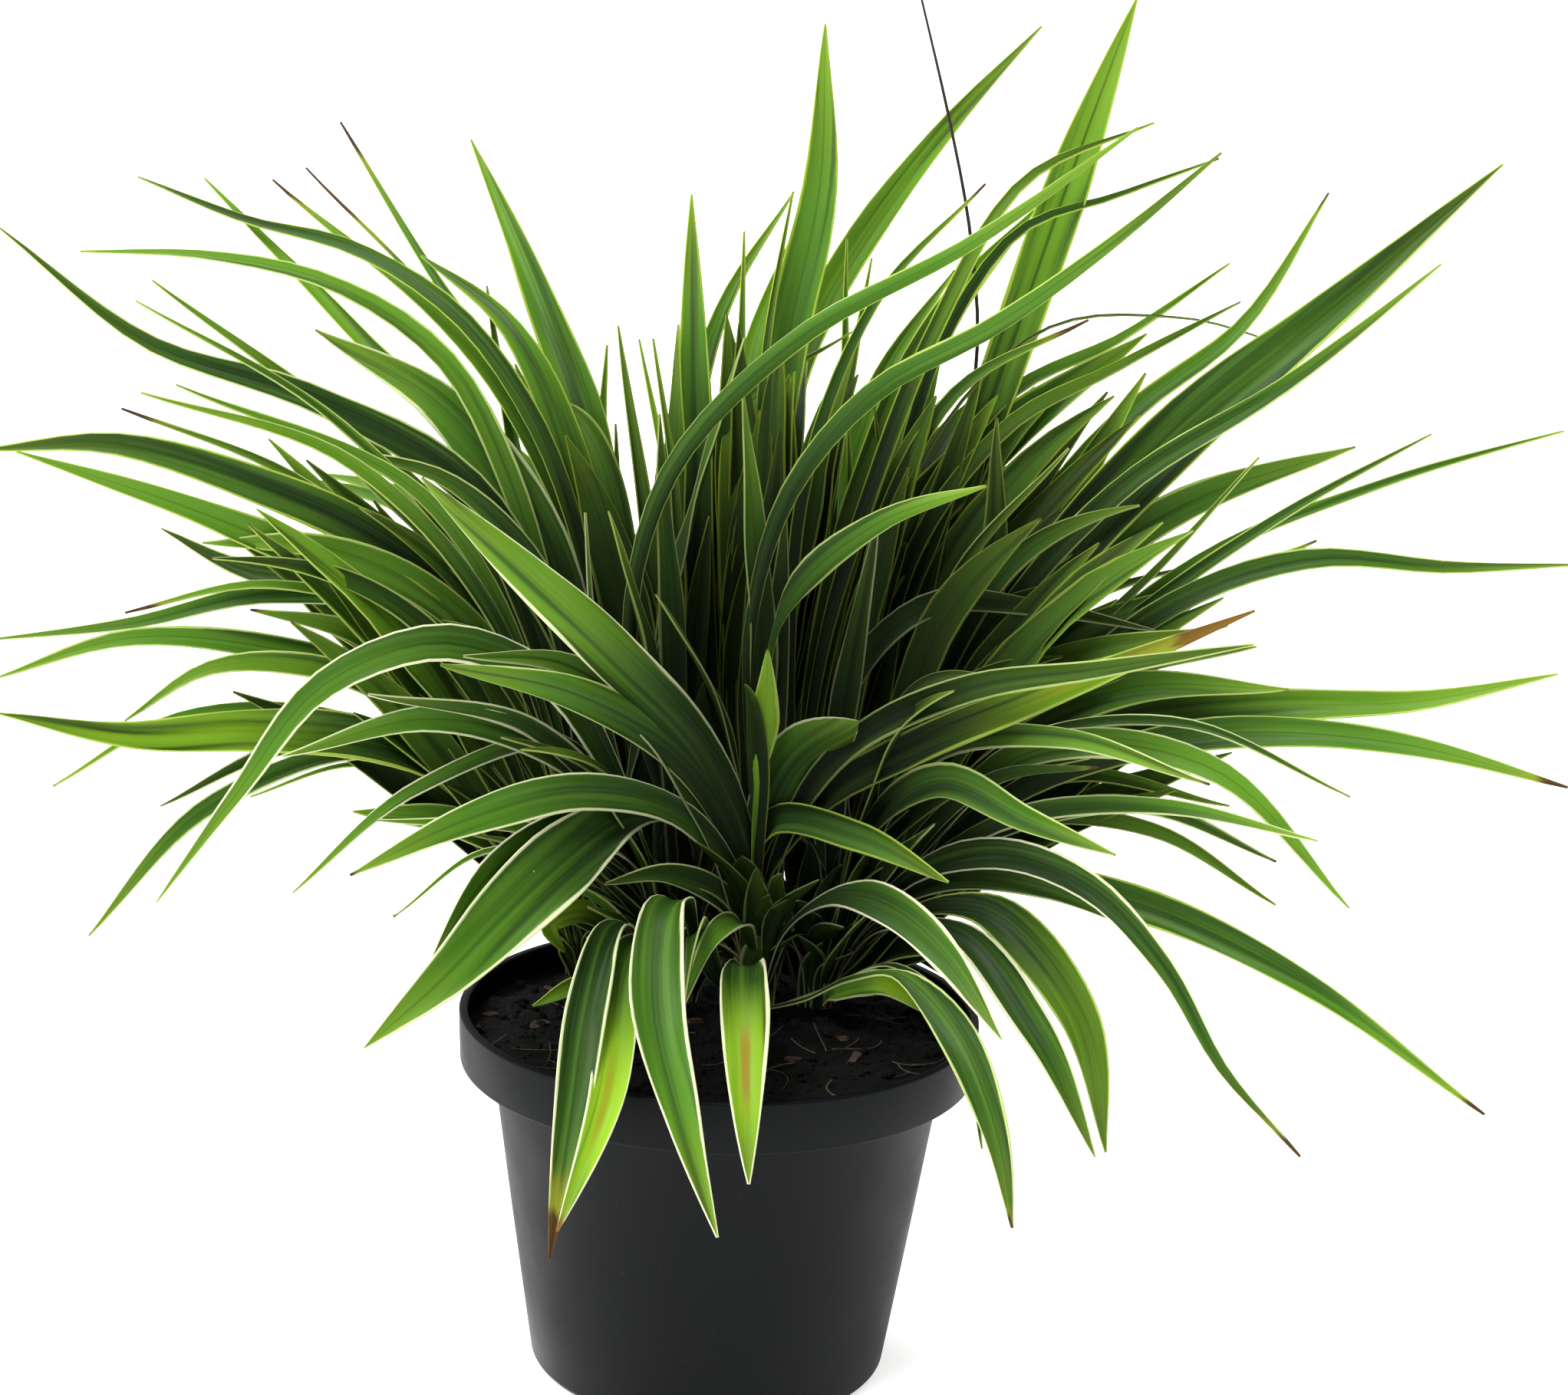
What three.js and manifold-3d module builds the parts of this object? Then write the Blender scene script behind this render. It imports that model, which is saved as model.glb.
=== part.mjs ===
// Potted spider plant: a round nursery pot, its soil, and a clump of crowns with arching ribbon leaves.
// Millimetres, +Z up. The origin is the centre of the pot's underside.
// +X is the viewer's right, and the bare front of the soil faces -Y.

import * as THREE from 'three';
import { mergeVertices } from 'three/addons/utils/BufferGeometryUtils.js';
import Module from 'manifold-3d';

const wasm = await Module();
wasm.setup();

// ---- Driving dimensions ----

const pot = {
  height: 107,
  rimRadius: 75,
  collarHeight: 15,
  collarDraft: 0.6,
  shoulderRadius: 65.2,
  baseRadius: 52,
  baseChamfer: 2,
  wall: 1.5,
  lipThickness: 2.6,
  lipDepth: 3,
  lipBevel: 0.8,
  floor: 2.4,
  sides: 40,
  drainHoles: 8,
  drainHoleRadius: 4.5,
  drainHoleSides: 12,
  drainHoleCircle: 38,
  drainGrooveDepth: 1,
  drainGrooveWidth: 5,
};

const soil = {
  level: 99,
  rings: 5,
  swellHeight: 1.1,
  swellLength: 64,
  crumbHeight: 0.7,
  crumbLength: 19,
};

const gap = 0.3;                 // clearance between pieces that touch

const blade = {
  thickness: 0.8,
  segments: 5,
  channelWidth: 12.5,            // wider leaves have a channelled section, the rest a flat one
  rootWidth: 0.38,               // share of the full width at the root
  tipWidth: 0.9,                 // mm, where the point is cut off
  fullWidthAt: 0.5,              // share of the length where the leaf is widest
  pointPower: 1.4,               // how long the leaf stays wide before its point
  foldDepth: 0.2,                // channel depth as a share of the width
  elbowPull: 0.84,               // how tightly a leaf bends round its elbow
};

// The foot that the leaves of one crown grow from, heights from the soil level.
const stub = {
  toeRadius: 4.5,
  radius: 7.6,
  topRadius: 6.8,
  toe: -9,
  heel: -4.5,
  waist: 2,
  top: 12,
  crest: 14,
  sides: 8,
  holeRadius: 8,                 // of its hole in the soil
  rootOut: 3,                    // where the leaves' centre lines start in it
  rootUp: 3,
};

// ---- Leaves ----
// Each leaf is [heading, reach, rise, elbowOut, elbowUp, width, roll, turn]. Lengths in mm.
// heading: degrees in plan, 0 = +X, 90 = +Y. reach and rise: where the tip is, from the crown's foot
// at soil level. elbow: where the leaf's two straight ends would meet. roll: how far its upper face
// is turned to the light, which comes from -Y, if not as far as the rest of its crown. turn: twist
// at the tip, in degrees. sprouts fill the crown between its placed leaves.

const crowns = {
  left: {
    node: 'crown_left',
    at: [-40, 35],
    roll: 66,
    leaves: [
      [171, 158, 211, 22, 192, 10.5],
      [179, 175, 219, 28, 150, 11],
      [175, 136, 207, 30, 118, 6.5],
      [189, 134, 203, 22, 126, 6],
      [164, 94, 192, 12, 132, 18, 72],
      [183, 180, 157, 42, 166, 12.5],
      [189, 166, 160, 30, 120, 11],
      [197, 134, 180, 16, 148, 5.5],
      [193, 124, 183, 20, 138, 4],
      [172, 147, 168, 24, 130, 4.5],
      [168, 138, 130, 28, 120, 8],
      [187, 139, 112, 50, 134, 4],
      [184, 175, 103, 52, 142, 8],
      [195, 172, 98, 84, 134, 9],
      [200, 139, 84, 62, 124, 7],
      [203, 176, 98, 52, 88, 11.2],
      [192, 164, 70, 68, 112, 5.5],
      [198, 150, 24, 92, 128, 7],
      [202, 133, 66, 62, 110, 5],
      [196, 112, 74, 42, 96, 3.5],
      [15, 40, 196, 16, 105, 12, 0],
    ],
    sprouts: { count: 6, heading: [152, 208], reach: [50, 120], rise: [90, 170], width: [6, 10] },
  },
  frontLeft: {
    node: 'crown_front_left',
    at: [-12, 18],
    roll: 30,
    leaves: [
      [206, 156, 48, 72, 180, 11],
      [204, 120, 86, 50, 104, 10.5],
      [200, 115, 43, 58, 116, 5],
      [216, 98, 42, 46, 76, 4],
      [234, 136, 24, 30, 66, 17],
      [226, 96, 26, 60, 92, 11],
      [258, 131, -24, 102, 84, 12],
      [262, 134, -12, 66, 60, 12.5],
      [277, 129, -14, 92, 62, 16, 0],
      [150, 14, 176, 10, 100, 9],
      [196, 26, 150, 8, 96, 10],
      [200, 34, 8, 16, 16, 6.5],
    ],
    sprouts: { count: 3, heading: [204, 246], reach: [40, 75], rise: [70, 120], width: [6, 9] },
  },
  front: {
    node: 'crown_front',
    at: [10, 14],
    roll: 15,
    leaves: [
      [219, 117, 171, 14, 92, 18, 45],
      [216, 106, 114, 26, 96, 13.5, 40],
      [214, 131, 61, 26, 92, 13, 35],
      [270, 117, -1, 78, 42, 13.5],
      [258, 80, 16, 50, 36, 7.5],
      [304, 126, -17, 106, 60, 10.5],
      [299, 121, 5, 84, 40, 4],
      [306, 115, 30, 54, 74, 11.5],
      [320, 70, 56, 4, 82, 11, 60],
      [326, 30, 76, 8, 112, 11.5, 30],
      [322, 72, 170, 6, 132, 10, 50],
      [352, 104, 262, -24, 176, 10, 60],
      [348, 124, 264, -20, 160, 11.4, 60],
      [268, 26, 116, 10, 90, 8],
      [140, 14, 184, 4, 110, 10],
      [80, 16, 150, 4, 90, 9],
      [196, 34, 128, 4, 84, 8],
    ],
    sprouts: { count: 1, heading: [240, 300], reach: [14, 30], rise: [90, 140], width: [7, 10] },
  },
  frontRight: {
    node: 'crown_front_right',
    at: [28, 20],
    roll: 45,
    leaves: [
      [314, 111, -9, 82, 56, 11],
      [321, 104, -13, 96, 78, 12.5],
      [340, 151, 86, 64, 112, 4.5],
      [328, 116, 92, 40, 104, 9],
      [337, 154, 54, 96, 126, 11],
      [335, 125, 82, 44, 88, 5],
      [341, 132, 64, 70, 96, 4],
      [315, 111, 76, 32, 96, 12.5],
      [323, 163, 4, 98, 110, 12],
      [335, 198, 9, 84, 74, 11],
      [20, 12, 150, 6, 90, 9],
      [340, 32, 9, 14, 18, 9],
    ],
    sprouts: { count: 3, heading: [308, 338], reach: [45, 85], rise: [80, 130], width: [6, 9] },
  },
  right: {
    node: 'crown_right',
    at: [38, 33],
    roll: 64,
    leaves: [
      [345, 116, 132, 16, 104, 17],
      [349, 119, 121, 24, 98, 7],
      [354, 50, 98, 8, 80, 4],
      [351, 198, 118, 30, 88, 11],
      [346, 206, 90, 60, 106, 11, 20, 60],
      [352, 138, 64, 54, 82, 5],
      [345, 130, 45, 62, 78, 5],
      [356, 90, 118, 20, 140, 7.5],
      [350, 63, 131, 28, 76, 7.5],
      [17, 196, 251, 16, 114, 19.5, 72],
      [11, 172, 223, 20, 118, 6.5],
      [15, 152, 168, 28, 130, 11],
      [4, 167, 176, 24, 92, 6.5],
      [8, 212, 176, 48, 144, 5],
      [358, 208, 143, 42, 126, 7.5],
      [12, 139, 141, 40, 100, 6.5],
      [6, 122, 167, 22, 78, 5],
    ],
    sprouts: { count: 5, heading: [342, 382], reach: [50, 120], rise: [80, 160], width: [6, 10] },
  },
  backRight: {
    node: 'crown_back_right',
    at: [24, 47],
    roll: 48,
    leaves: [
      [57, 118, 286, -18, 206, 14],
      [37, 118, 298, 44, 136, 14],
      [48, 70, 291, 62, 180, 2.4],
      [34, 158, 214, 20, 178, 4.5],
      [28, 148, 204, 34, 164, 6.5],
      [37, 134, 192, 14, 140, 18, 60],
      [26, 176, 238, 60, 134, 8],
      [22, 106, 156, 46, 90, 5.5],
      [24, 108, 186, 42, 104, 13, 60],
      [32, 186, 188, 60, 208, 2.4],
      [32, 146, 246, 40, 224, 4.5],
      [55, 66, 214, 36, 122, 4],
    ],
    sprouts: { count: 5, heading: [24, 60], reach: [60, 160], rise: [60, 170], width: [6, 11] },
  },
  back: {
    node: 'crown_back',
    at: [4, 54],
    roll: 0,
    leaves: [
      [78, 78, 284, 20, 180, 14],
      [112, 60, 230, 14, 120, 12],
      [72, 55, 232, -8, 180, 7],
      [92, 50, 222, 8, 140, 4],
      [66, 84, 218, 54, 122, 4],
      [80, 70, 208, 40, 112, 4],
      [300, 12, 170, 6, 110, 10],
    ],
    sprouts: { count: 9, heading: [62, 106], reach: [60, 185], rise: [50, 190], width: [7, 12.5] },
  },
  backLeft: {
    node: 'crown_back_left',
    at: [-18, 50],
    roll: 45,
    leaves: [
      [155, 184, 229, 54, 208, 7],
      [152, 146, 229, 40, 178, 7.5],
      [146, 142, 235, 60, 190, 4],
      [141, 138, 248, 50, 152, 7],
      [154, 136, 228, 70, 172, 8],
      [131, 116, 243, 32, 152, 14.5],
      [144, 84, 202, 50, 84, 8],
      [118, 66, 184, 40, 76, 8],
      [112, 72, 192, 34, 98, 5.5],
      [124, 56, 188, 30, 100, 4.5],
      [100, 20, 196, 8, 120, 11],
      [60, 16, 140, 6, 90, 10],
    ],
    sprouts: { count: 7, heading: [110, 154], reach: [50, 160], rise: [50, 180], width: [6, 11] },
  },
};

// ---- Seeded draws ----

let drawState = 20261;

function draw(low, high) {
  drawState = (drawState * 16807) % 2147483647;
  return low + (high - low) * (drawState / 2147483647);
}

// ---- Solids and joins ----

function indexWithoutFlatTriangles(geometry) {
  const index = geometry.index.array;
  const kept = [];
  for (let i = 0; i < index.length; i += 3) {
    const [a, b, c] = [index[i], index[i + 1], index[i + 2]];
    if (a !== b && b !== c && c !== a) kept.push(a, b, c);
  }
  return kept;
}

function toSolid(source) {
  const geometry = source.clone();
  geometry.deleteAttribute('normal');
  geometry.deleteAttribute('uv');
  const merged = mergeVertices(geometry, 1e-4);
  return new wasm.Manifold(new wasm.Mesh({
    numProp: 3,
    vertProperties: new Float32Array(merged.attributes.position.array),
    triVerts: new Uint32Array(indexWithoutFlatTriangles(merged)),
  }));
}

// Vertices that are joined by triangles share one root in this list.
function shellRoots(vertexCount, triangles) {
  const root = Array.from({ length: vertexCount }, (_, i) => i);
  const find = (i) => {
    while (root[i] !== i) {
      root[i] = root[root[i]];
      i = root[i];
    }
    return i;
  };
  for (let i = 0; i < triangles.length; i += 3) {
    root[find(triangles[i + 1])] = find(triangles[i]);
    root[find(triangles[i + 2])] = find(triangles[i]);
  }
  return root.map((_, i) => find(i));
}

// The outer skin alone: sealed hollows between the leaf roots are filled.
function toGeometry(solid) {
  const mesh = solid.getMesh();
  const vertexCount = mesh.vertProperties.length / 3;
  const roots = shellRoots(vertexCount, mesh.triVerts);
  const sizes = new Map();
  for (const vertex of mesh.triVerts) {
    sizes.set(roots[vertex], (sizes.get(roots[vertex]) ?? 0) + 1);
  }
  const outer = [...sizes.entries()].sort((a, b) => b[1] - a[1])[0][0];
  const index = [];
  for (let i = 0; i < mesh.triVerts.length; i += 3) {
    if (roots[mesh.triVerts[i]] === outer) index.push(...mesh.triVerts.slice(i, i + 3));
  }
  const geometry = new THREE.BufferGeometry();
  geometry.setAttribute('position', new THREE.BufferAttribute(mesh.vertProperties, 3));
  geometry.setIndex(index);
  geometry.computeVertexNormals();
  return geometry;
}

function finish(color, roughness) {
  return new THREE.MeshStandardMaterial({ color, roughness, metalness: 0, flatShading: true });
}

function turned(profile, sides) {
  const points = profile.map(([radius, height]) => new THREE.Vector2(radius, height));
  return new THREE.LatheGeometry(points, sides).rotateX(Math.PI / 2);
}

function upright(radius, height, sides) {
  return new THREE.CylinderGeometry(radius, radius, height, sides).rotateX(Math.PI / 2);
}

// ---- Pot ----

const shoulderHeight = pot.height - pot.collarHeight;
const ledgeHeight = shoulderHeight + pot.wall;
const collarFootRadius = pot.rimRadius - pot.collarDraft;
const lipInnerRadius = pot.rimRadius - pot.lipThickness;

// Radius of the pot's inner wall at a height below the ledge.
function potInnerRadius(height) {
  const share = height / shoulderHeight;
  return pot.baseRadius + (pot.shoulderRadius - pot.baseRadius) * share - pot.wall;
}

function potBody() {
  const lipFoot = pot.height - pot.lipDepth;
  return turned([
    [0, 0],
    [pot.baseRadius - pot.baseChamfer, 0],
    [pot.baseRadius, pot.baseChamfer],
    [pot.shoulderRadius, shoulderHeight],
    [collarFootRadius, shoulderHeight],
    [pot.rimRadius, pot.height - pot.lipBevel],
    [pot.rimRadius - pot.lipBevel, pot.height],
    [lipInnerRadius + pot.lipBevel, pot.height],
    [lipInnerRadius, pot.height - pot.lipBevel],
    [lipInnerRadius, lipFoot],
    [pot.rimRadius - pot.wall, lipFoot - (pot.lipThickness - pot.wall)],
    [collarFootRadius - pot.wall, ledgeHeight],
    [potInnerRadius(ledgeHeight), ledgeHeight],
    [potInnerRadius(pot.floor), pot.floor],
    [0, pot.floor],
  ], pot.sides);
}

function drainHole(angle) {
  const hole = upright(pot.drainHoleRadius, pot.floor * 2, pot.drainHoleSides);
  return hole.translate(
    pot.drainHoleCircle * Math.cos(angle),
    pot.drainHoleCircle * Math.sin(angle),
    pot.floor / 2,
  );
}

function drainGroove(angle) {
  const length = pot.rimRadius - pot.drainHoleCircle;
  const groove = new THREE.BoxGeometry(length, pot.drainGrooveWidth, pot.drainGrooveDepth * 2);
  return groove.translate(pot.drainHoleCircle + length / 2, 0, 0).rotateZ(angle);
}

function nurseryPot() {
  let body = toSolid(potBody());
  for (let i = 0; i < pot.drainHoles; i += 1) {
    const angle = (i * 2 * Math.PI) / pot.drainHoles;
    body = body.subtract(toSolid(drainHole(angle))).subtract(toSolid(drainGroove(angle)));
  }
  const mesh = new THREE.Mesh(toGeometry(body), finish('#2c2f32', 0.5));
  mesh.name = 'pot';
  return mesh;
}

// ---- Soil ----

// Height of broad swells and small crumbs over the soil level, by place.
function soilRelief(x, y) {
  const wave = (along, length) => Math.sin((along / length) * 2 * Math.PI);
  const swell = wave(x + y, soil.swellLength) * wave(x - y, soil.swellLength);
  const crumb = wave(x + y / 2, soil.crumbLength) * wave(y - x / 2, soil.crumbLength);
  return soil.swellHeight * swell + soil.crumbHeight * crumb;
}

function soilPlug() {
  const floor = pot.floor + gap;
  const ledge = ledgeHeight + gap;
  const collarRadius = collarFootRadius - pot.wall - gap;
  const profile = [
    [0, floor],
    [potInnerRadius(floor) - gap, floor],
    [potInnerRadius(ledge) - gap, ledge],
    [collarRadius, ledge],
    [collarRadius, soil.level],
  ];
  for (let ring = soil.rings - 1; ring > 0; ring -= 1) {
    profile.push([(collarRadius * ring) / soil.rings, soil.level]);
  }
  profile.push([0, soil.level]);
  const geometry = turned(profile, pot.sides);
  const position = geometry.attributes.position;
  for (let i = 0; i < position.count; i += 1) {
    if (position.getZ(i) < (ledge + soil.level) / 2) continue;
    position.setZ(i, soil.level + soilRelief(position.getX(i), position.getY(i)));
  }
  return toSolid(geometry);
}

function stubHole([x, y]) {
  const bottom = stub.toe - gap;
  const hole = upright(stub.holeRadius, stub.top - bottom, stub.sides);
  return toSolid(hole.translate(x, y, soil.level + (stub.top + bottom) / 2));
}

function pottingSoil() {
  let body = soilPlug();
  for (const crown of Object.values(crowns)) body = body.subtract(stubHole(crown.at));
  const mesh = new THREE.Mesh(toGeometry(body), finish('#2a211b', 0.95));
  mesh.name = 'soil';
  return mesh;
}

// ---- Leaves ----

// Centre line of a leaf, from inside the crown's foot to its tip.
function leafCurve([x, y], [heading, reach, rise, elbowOut, elbowUp]) {
  const angle = THREE.MathUtils.degToRad(heading);
  const out = new THREE.Vector3(Math.cos(angle), Math.sin(angle), 0);
  const place = (along, up) => new THREE.Vector3(x, y, soil.level + up).addScaledVector(out, along);
  const root = place(stub.rootOut, stub.rootUp);
  const elbow = place(elbowOut, elbowUp);
  const tip = place(reach, rise);
  return new THREE.CubicBezierCurve3(
    root,
    root.clone().lerp(elbow, blade.elbowPull),
    tip.clone().lerp(elbow, blade.elbowPull),
    tip,
  );
}

// Half width at a share of the length: narrow at the root, full by the elbow, then a long point.
function halfWidth(width, share) {
  const at = blade.fullWidthAt;
  if (share < at) {
    const grown = THREE.MathUtils.smoothstep(share, 0, at);
    return 0.5 * width * (blade.rootWidth + (1 - blade.rootWidth) * grown);
  }
  const narrowed = ((share - at) / (1 - at)) ** blade.pointPower;
  return 0.5 * (width - (width - blade.tipWidth) * narrowed);
}

// One closed cross-section of a leaf: a shallow channel if it is wide, a flat strip if narrow.
function bladeSection(centre, side, up, half, width) {
  const corner = (across, lift) => centre.clone().addScaledVector(side, across).addScaledVector(up, lift);
  const skin = blade.thickness / 2;
  if (width < blade.channelWidth) {
    return [corner(-half, skin), corner(half, skin), corner(half, -skin), corner(-half, -skin)];
  }
  const fold = half * 2 * blade.foldDepth;
  return [
    corner(-half, fold + skin),
    corner(0, skin),
    corner(half, fold + skin),
    corner(half, fold - skin),
    corner(0, -skin),
    corner(-half, fold - skin),
  ];
}

function leafBlade({ at, roll: crownRoll }, leaf) {
  const curve = leafCurve(at, leaf);
  const [heading, , , , , width, roll = crownRoll, turn = 0] = leaf;
  const angle = THREE.MathUtils.degToRad(heading);
  const level = new THREE.Vector3(Math.sin(angle), -Math.cos(angle), 0);
  const toLight = Math.cos(angle) < 0 ? -1 : 1;
  const sections = [];
  for (let i = 0; i <= blade.segments; i += 1) {
    const share = i / blade.segments;
    const tangent = curve.getTangent(share);
    const twist = THREE.MathUtils.degToRad(toLight * roll + turn * share * share);
    const side = level.clone().applyAxisAngle(tangent, twist);
    side.addScaledVector(tangent, -side.dot(tangent)).normalize();
    const up = new THREE.Vector3().crossVectors(side, tangent);
    sections.push(bladeSection(curve.getPoint(share), side, up, halfWidth(width, share), width));
  }
  return skinSections(sections);
}

// Closes a row of equal sections into one body. Both faces are split along the same diagonals.
function skinSections(sections) {
  const corners = sections[0].length;
  const last = (sections.length - 1) * corners;
  const upper = corners / 2 - 1;
  const index = [];
  for (let row = 0; row < last; row += corners) {
    for (let i = 0; i < corners; i += 1) {
      const [a, b] = [row + i, row + ((i + 1) % corners)];
      const [c, d] = [a + corners, b + corners];
      if (i <= upper) index.push(a, b, c, b, d, c);
      else index.push(a, d, c, a, b, d);
    }
  }
  for (let i = 0; i < corners / 2 - 1; i += 1) {
    const [a, b] = [i, i + 1];
    const [c, d] = [corners - 1 - i, corners - 2 - i];
    index.push(a, d, b, a, c, d);
    index.push(last + a, last + b, last + d, last + a, last + d, last + c);
  }
  const geometry = new THREE.BufferGeometry();
  const positions = sections.flat().flatMap((point) => point.toArray());
  geometry.setAttribute('position', new THREE.Float32BufferAttribute(positions, 3));
  geometry.setIndex(index);
  return geometry;
}

// Leaves between the placed ones, drawn at random within the crown's own ranges.
function sproutLeaves({ count, heading, reach, rise, width }) {
  return Array.from({ length: count }, (_, i) => {
    const step = (heading[1] - heading[0]) / count;
    const facing = heading[0] + step * (i + draw(0.2, 0.8));
    const far = draw(...reach);
    const high = draw(...rise);
    return [facing, far, high, far * draw(0.2, 0.4), high * draw(0.75, 1.05), draw(...width)];
  });
}

function crownStub([x, y]) {
  const profile = [
    [0, stub.toe],
    [stub.toeRadius, stub.toe],
    [stub.radius, stub.heel],
    [stub.radius, stub.waist],
    [stub.topRadius, stub.top],
    [0, stub.crest],
  ];
  return turned(profile, stub.sides).translate(x, y, soil.level);
}

function leafyCrown(crown) {
  const leaves = [...crown.leaves, ...sproutLeaves(crown.sprouts)];
  const blades = leaves.map((leaf) => toSolid(leafBlade(crown, leaf)));
  const whole = wasm.Manifold.union([toSolid(crownStub(crown.at)), ...blades]);
  const mesh = new THREE.Mesh(toGeometry(whole), finish('#5d8a32', 0.45));
  mesh.name = crown.node;
  return mesh;
}

// ---- Assembly ----

const plant = new THREE.Group();
for (const crown of Object.values(crowns)) plant.add(leafyCrown(crown));

const pottedSpiderPlant = new THREE.Group();
pottedSpiderPlant.add(nurseryPot(), pottingSoil(), plant);

export default pottedSpiderPlant;
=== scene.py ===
# Potted spider plant: a charcoal nursery pot, damp peat mix and a clump of variegated ribbon leaves.
# Metres, +Z up. The origin is the centre of the pot's underside, and the bare front of the soil faces -Y.

import math
import random
import time

import bpy
import numpy as np
from mathutils import Matrix, Vector


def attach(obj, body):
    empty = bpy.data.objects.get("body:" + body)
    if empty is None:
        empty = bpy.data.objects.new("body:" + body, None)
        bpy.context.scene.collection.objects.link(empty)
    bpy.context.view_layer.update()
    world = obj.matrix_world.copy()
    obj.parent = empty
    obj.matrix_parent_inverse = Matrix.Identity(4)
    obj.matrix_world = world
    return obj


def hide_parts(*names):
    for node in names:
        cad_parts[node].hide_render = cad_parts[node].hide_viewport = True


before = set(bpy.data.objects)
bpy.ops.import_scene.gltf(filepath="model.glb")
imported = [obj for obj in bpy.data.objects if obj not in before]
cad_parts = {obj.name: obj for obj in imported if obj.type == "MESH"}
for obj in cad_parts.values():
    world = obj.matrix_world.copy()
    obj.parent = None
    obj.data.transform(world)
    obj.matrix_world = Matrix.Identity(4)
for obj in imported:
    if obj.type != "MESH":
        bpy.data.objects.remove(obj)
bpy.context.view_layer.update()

mm = 0.001
startTime = time.time()


def say(*words):  # one line for each stage, with the seconds since the start
    print(f"{time.time() - startTime:6.1f} s ", *words)


say("Frame loaded:", len(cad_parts), "nodes")


# Camera

cameraView = {
    "eye": (0.0146, -0.8381, 0.4090),
    "pitchDown": 14,          # degrees below level
    "roll": 2.5,              # degrees
    "focalPixels": 4000,      # focal length in pixels of the photograph's width
    "imageWidth": 2044,
    "sensorWidth": 36,        # mm
}


def makeCamera(values):
    bpy.ops.object.camera_add(location=values["eye"])
    camera = bpy.context.object
    camera.name = "studioCamera"
    camera.data.sensor_width = values["sensorWidth"]
    camera.data.lens = values["sensorWidth"] * values["focalPixels"] / values["imageWidth"]
    tilt = Matrix.Rotation(math.radians(90 - values["pitchDown"]), 4, "X")
    roll = Matrix.Rotation(math.radians(values["roll"]), 4, "Z")
    camera.matrix_world = Matrix.Translation(values["eye"]) @ tilt @ roll
    bpy.context.scene.camera = camera


makeCamera(cameraView)
say("Camera set")


# Small tools for modelling

def pickNothing():
    if bpy.context.mode != "OBJECT":
        bpy.ops.object.mode_set(mode="OBJECT")
    bpy.ops.object.select_all(action="DESELECT")


def pick(*pieces):
    pickNothing()
    for piece in pieces:
        piece.select_set(True)
    bpy.context.view_layer.objects.active = pieces[0]


def applyModifier(piece, kind, **settings):
    pick(piece)
    modifier = piece.modifiers.new(kind.title(), kind)
    for name, value in settings.items():
        setattr(modifier, name, value)
    bpy.ops.object.modifier_apply(modifier=modifier.name)


def freeze(piece):  # its place goes into its mesh
    pick(piece)
    bpy.ops.object.transform_apply(location=True, rotation=True, scale=True)


def joinPieces(name, pieces):
    pick(*pieces)
    bpy.ops.object.join()
    joined = bpy.context.object
    joined.name = joined.data.name = name
    freeze(joined)
    return joined


def turnProfile(name, profile, steps):  # a wall or solid turned from (radius, height) points in mm
    pickNothing()
    first = (profile[0][0] * mm, 0, profile[0][1] * mm)
    bpy.ops.mesh.primitive_plane_add(size=mm, location=first)
    piece = bpy.context.object
    piece.name = piece.data.name = name
    freeze(piece)
    bpy.ops.object.mode_set(mode="EDIT")
    bpy.ops.mesh.select_all(action="SELECT")
    bpy.ops.mesh.merge(type="CENTER")
    for (radius, height), (nextRadius, nextHeight) in zip(profile, profile[1:]):
        step = ((nextRadius - radius) * mm, 0, (nextHeight - height) * mm)
        bpy.ops.mesh.extrude_vertices_move(TRANSFORM_OT_translate={"value": step})
    bpy.ops.mesh.select_all(action="SELECT")
    bpy.ops.mesh.spin(steps=steps, angle=2 * math.pi, center=(0, 0, 0), axis=(0, 0, 1))
    bpy.ops.mesh.select_all(action="SELECT")
    bpy.ops.mesh.remove_doubles(threshold=0.01 * mm)
    bpy.ops.mesh.normals_make_consistent(inside=False)
    bpy.ops.object.mode_set(mode="OBJECT")
    return piece


# Small tools for materials

def hexColour(text):  # sRGB hex to linear RGBA
    channels = [int(text[i:i + 2], 16) / 255 for i in (1, 3, 5)]
    return [c / 12.92 if c <= 0.04045 else ((c + 0.055) / 1.055) ** 2.4 for c in channels] + [1]


def addNode(tree, kind, settings=None, links=None):  # a node given as a link stands for its first output
    node = tree.nodes.new(kind)
    for name, value in (settings or {}).items():
        setattr(node, name, value)
    for socket, value in (links or {}).items():
        if isinstance(value, bpy.types.Node):
            value = value.outputs[0]
        if isinstance(value, bpy.types.NodeSocket):
            tree.links.new(value, node.inputs[socket])
        else:
            node.inputs[socket].default_value = value
    return node


def setRamp(node, stops):
    ramp = node.color_ramp
    while len(ramp.elements) < len(stops):
        ramp.elements.new(0.5)
    for element, (place, colour) in zip(ramp.elements, stops):
        element.position = place
        element.color = hexColour(colour)
    return node.outputs["Color"]


def newMaterial(name):
    material = bpy.data.materials.new(name)
    material.use_nodes = True
    tree = material.node_tree
    tree.nodes.clear()
    return material, tree


# Leaf material
# A living leaf, grown and not made: a waxy skin over wet green tissue. The skin gives a soft, broken
# gloss, the thin blade lets light through in yellow-green, and the tissue without green along its
# edges shows as cream or yellow-green margins. Fine parallel veins run its whole length.

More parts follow.
